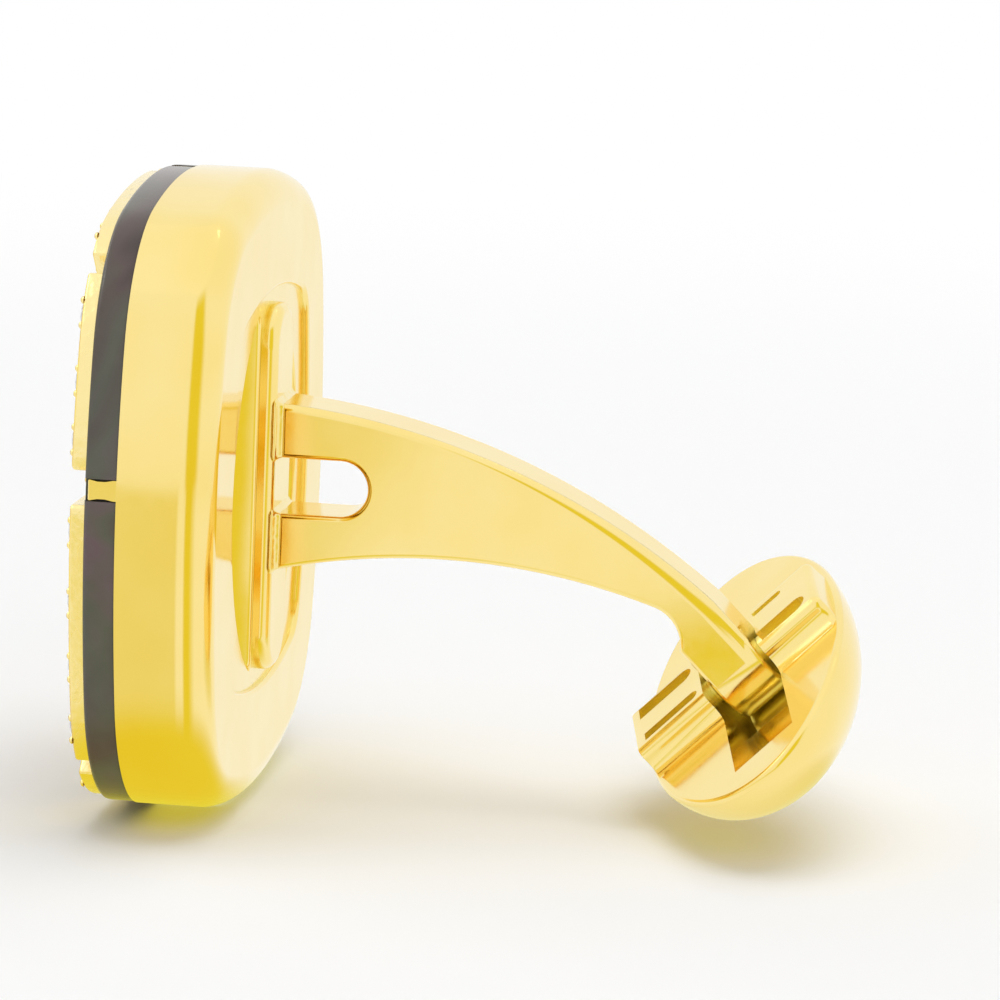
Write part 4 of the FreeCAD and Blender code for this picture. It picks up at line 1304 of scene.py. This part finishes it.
def paper(piece, parts):
    """Cover a stage piece in paper that glows by its bearing from the centre."""
    only_mirrored(piece)
    material, tree = new_material(piece.name + "_paper")
    place = add(tree, "SeparateXYZ", {0: add(tree, "TexCoord").outputs["Object"]})
    bearing = add(tree, "Math", {0: place.outputs["Y"], 1: place.outputs["X"]}, operation="ARCTAN2")
    turn = add(tree, "MapRange", {"Value": bearing.outputs[0], "From Min": -math.pi, "From Max": math.pi})
    ramp = add(tree, "ValToRGB", {"Fac": turn.outputs["Result"]})
    for count in range(len(parts) - 2):
        ramp.color_ramp.elements.new(0.5)
    for element, (angle, light) in zip(ramp.color_ramp.elements, parts):
        element.position = (angle + 180) / 360
        element.color = colour(light)
    low, high = WALL_FADE
    rise = add(tree, "MapRange", {"Value": place.outputs["Z"], "From Min": low, "From Max": high})
    shown = add(
        tree,
        "Mix",
        {0: rise.outputs["Result"], 6: ramp.outputs["Color"], 7: colour(PAPER_WHITE)},
        data_type="RGBA",
    )
    glow = add(tree, "Emission", {"Color": shown.outputs[2], "Strength": 1.0})
    add(tree, "OutputMaterial", {"Surface": glow.outputs[0]})
    piece.data.materials.append(material)


def disc(name, centre, radius, z):
    """A round flat sheet."""
    bpy.ops.object.select_all(action="DESELECT")
    bpy.ops.mesh.primitive_circle_add(
        vertices=PAPER_SIDES, radius=radius, fill_type="NGON", location=(*centre, z)
    )
    bpy.context.object.name = name
    return bpy.context.object


def wall(name, bottom, height):
    """A round wall about the object."""
    bpy.ops.object.select_all(action="DESELECT")
    bpy.ops.mesh.primitive_cylinder_add(
        vertices=PAPER_SIDES,
        radius=PAPER_RADIUS,
        depth=height,
        end_fill_type="NOTHING",
        location=(*PAPER_CENTRE, bottom + height / 2),
    )
    bpy.context.object.name = name
    return bpy.context.object


paper(disc("sheet", PAPER_CENTRE, PAPER_RADIUS, floor_z + SHEET_LIFT), FLOOR_PARTS)
paper(wall("wall", floor_z, WALL_HEIGHT), WALL_PARTS)
for count, (centre, near, far, light) in enumerate(PADS):
    pad = disc(f"pad_{count}", centre, far, floor_z + PAD_LIFT)
    only_mirrored(pad)
    material, tree = new_material(f"pad_{count}_paper")
    reach = add(tree, "VectorMath", {0: add(tree, "TexCoord").outputs["Object"]}, operation="LENGTH")
    fade = add(
        tree,
        "MapRange",
        {"Value": reach.outputs["Value"], "From Min": near, "From Max": far},
        interpolation_type="SMOOTHSTEP",
    )
    glow = add(tree, "Emission", {"Color": colour(light), "Strength": 1.0})
    clear = add(tree, "BsdfTransparent")
    edge = add(tree, "MixShader", {0: fade.outputs["Result"], 1: glow.outputs[0], 2: clear.outputs[0]})
    add(tree, "OutputMaterial", {"Surface": edge.outputs[0]})
    pad.data.materials.append(material)

# Camera: a long lens, level with the link and a little behind its side, so that the back, the post and
# the toggle all show.
VIEW_AZIMUTH = 98.0
VIEW_HEIGHT = 9.5
VIEW_ROLL = 2.25
LENS = 200.0
FRAME_WIDTH = 25.0 * MM
SENSOR = 36.0
MIRROR_BOUNCES = 10
camera = bpy.data.objects.new("camera", bpy.data.cameras.new("camera"))
bpy.context.scene.collection.objects.link(camera)
camera.data.lens = LENS
camera.data.sensor_width = SENSOR
azimuth, height = math.radians(VIEW_AZIMUTH), math.radians(VIEW_HEIGHT)
level = math.cos(height)
back = Vector((math.sin(azimuth) * level, -math.cos(azimuth) * level, math.sin(height)))
aim = (cad_box[0] + cad_box[1]) / 2
camera.location = aim + back * FRAME_WIDTH * LENS / SENSOR
facing = (-back).to_track_quat("-Z", "Y").to_matrix()
camera.rotation_euler = (facing @ Matrix.Rotation(math.radians(VIEW_ROLL), 3, "Z")).to_euler()
bpy.context.scene.camera = camera
bpy.context.scene.view_settings.view_transform = "Standard"
bpy.context.scene.cycles.glossy_bounces = MIRROR_BOUNCES
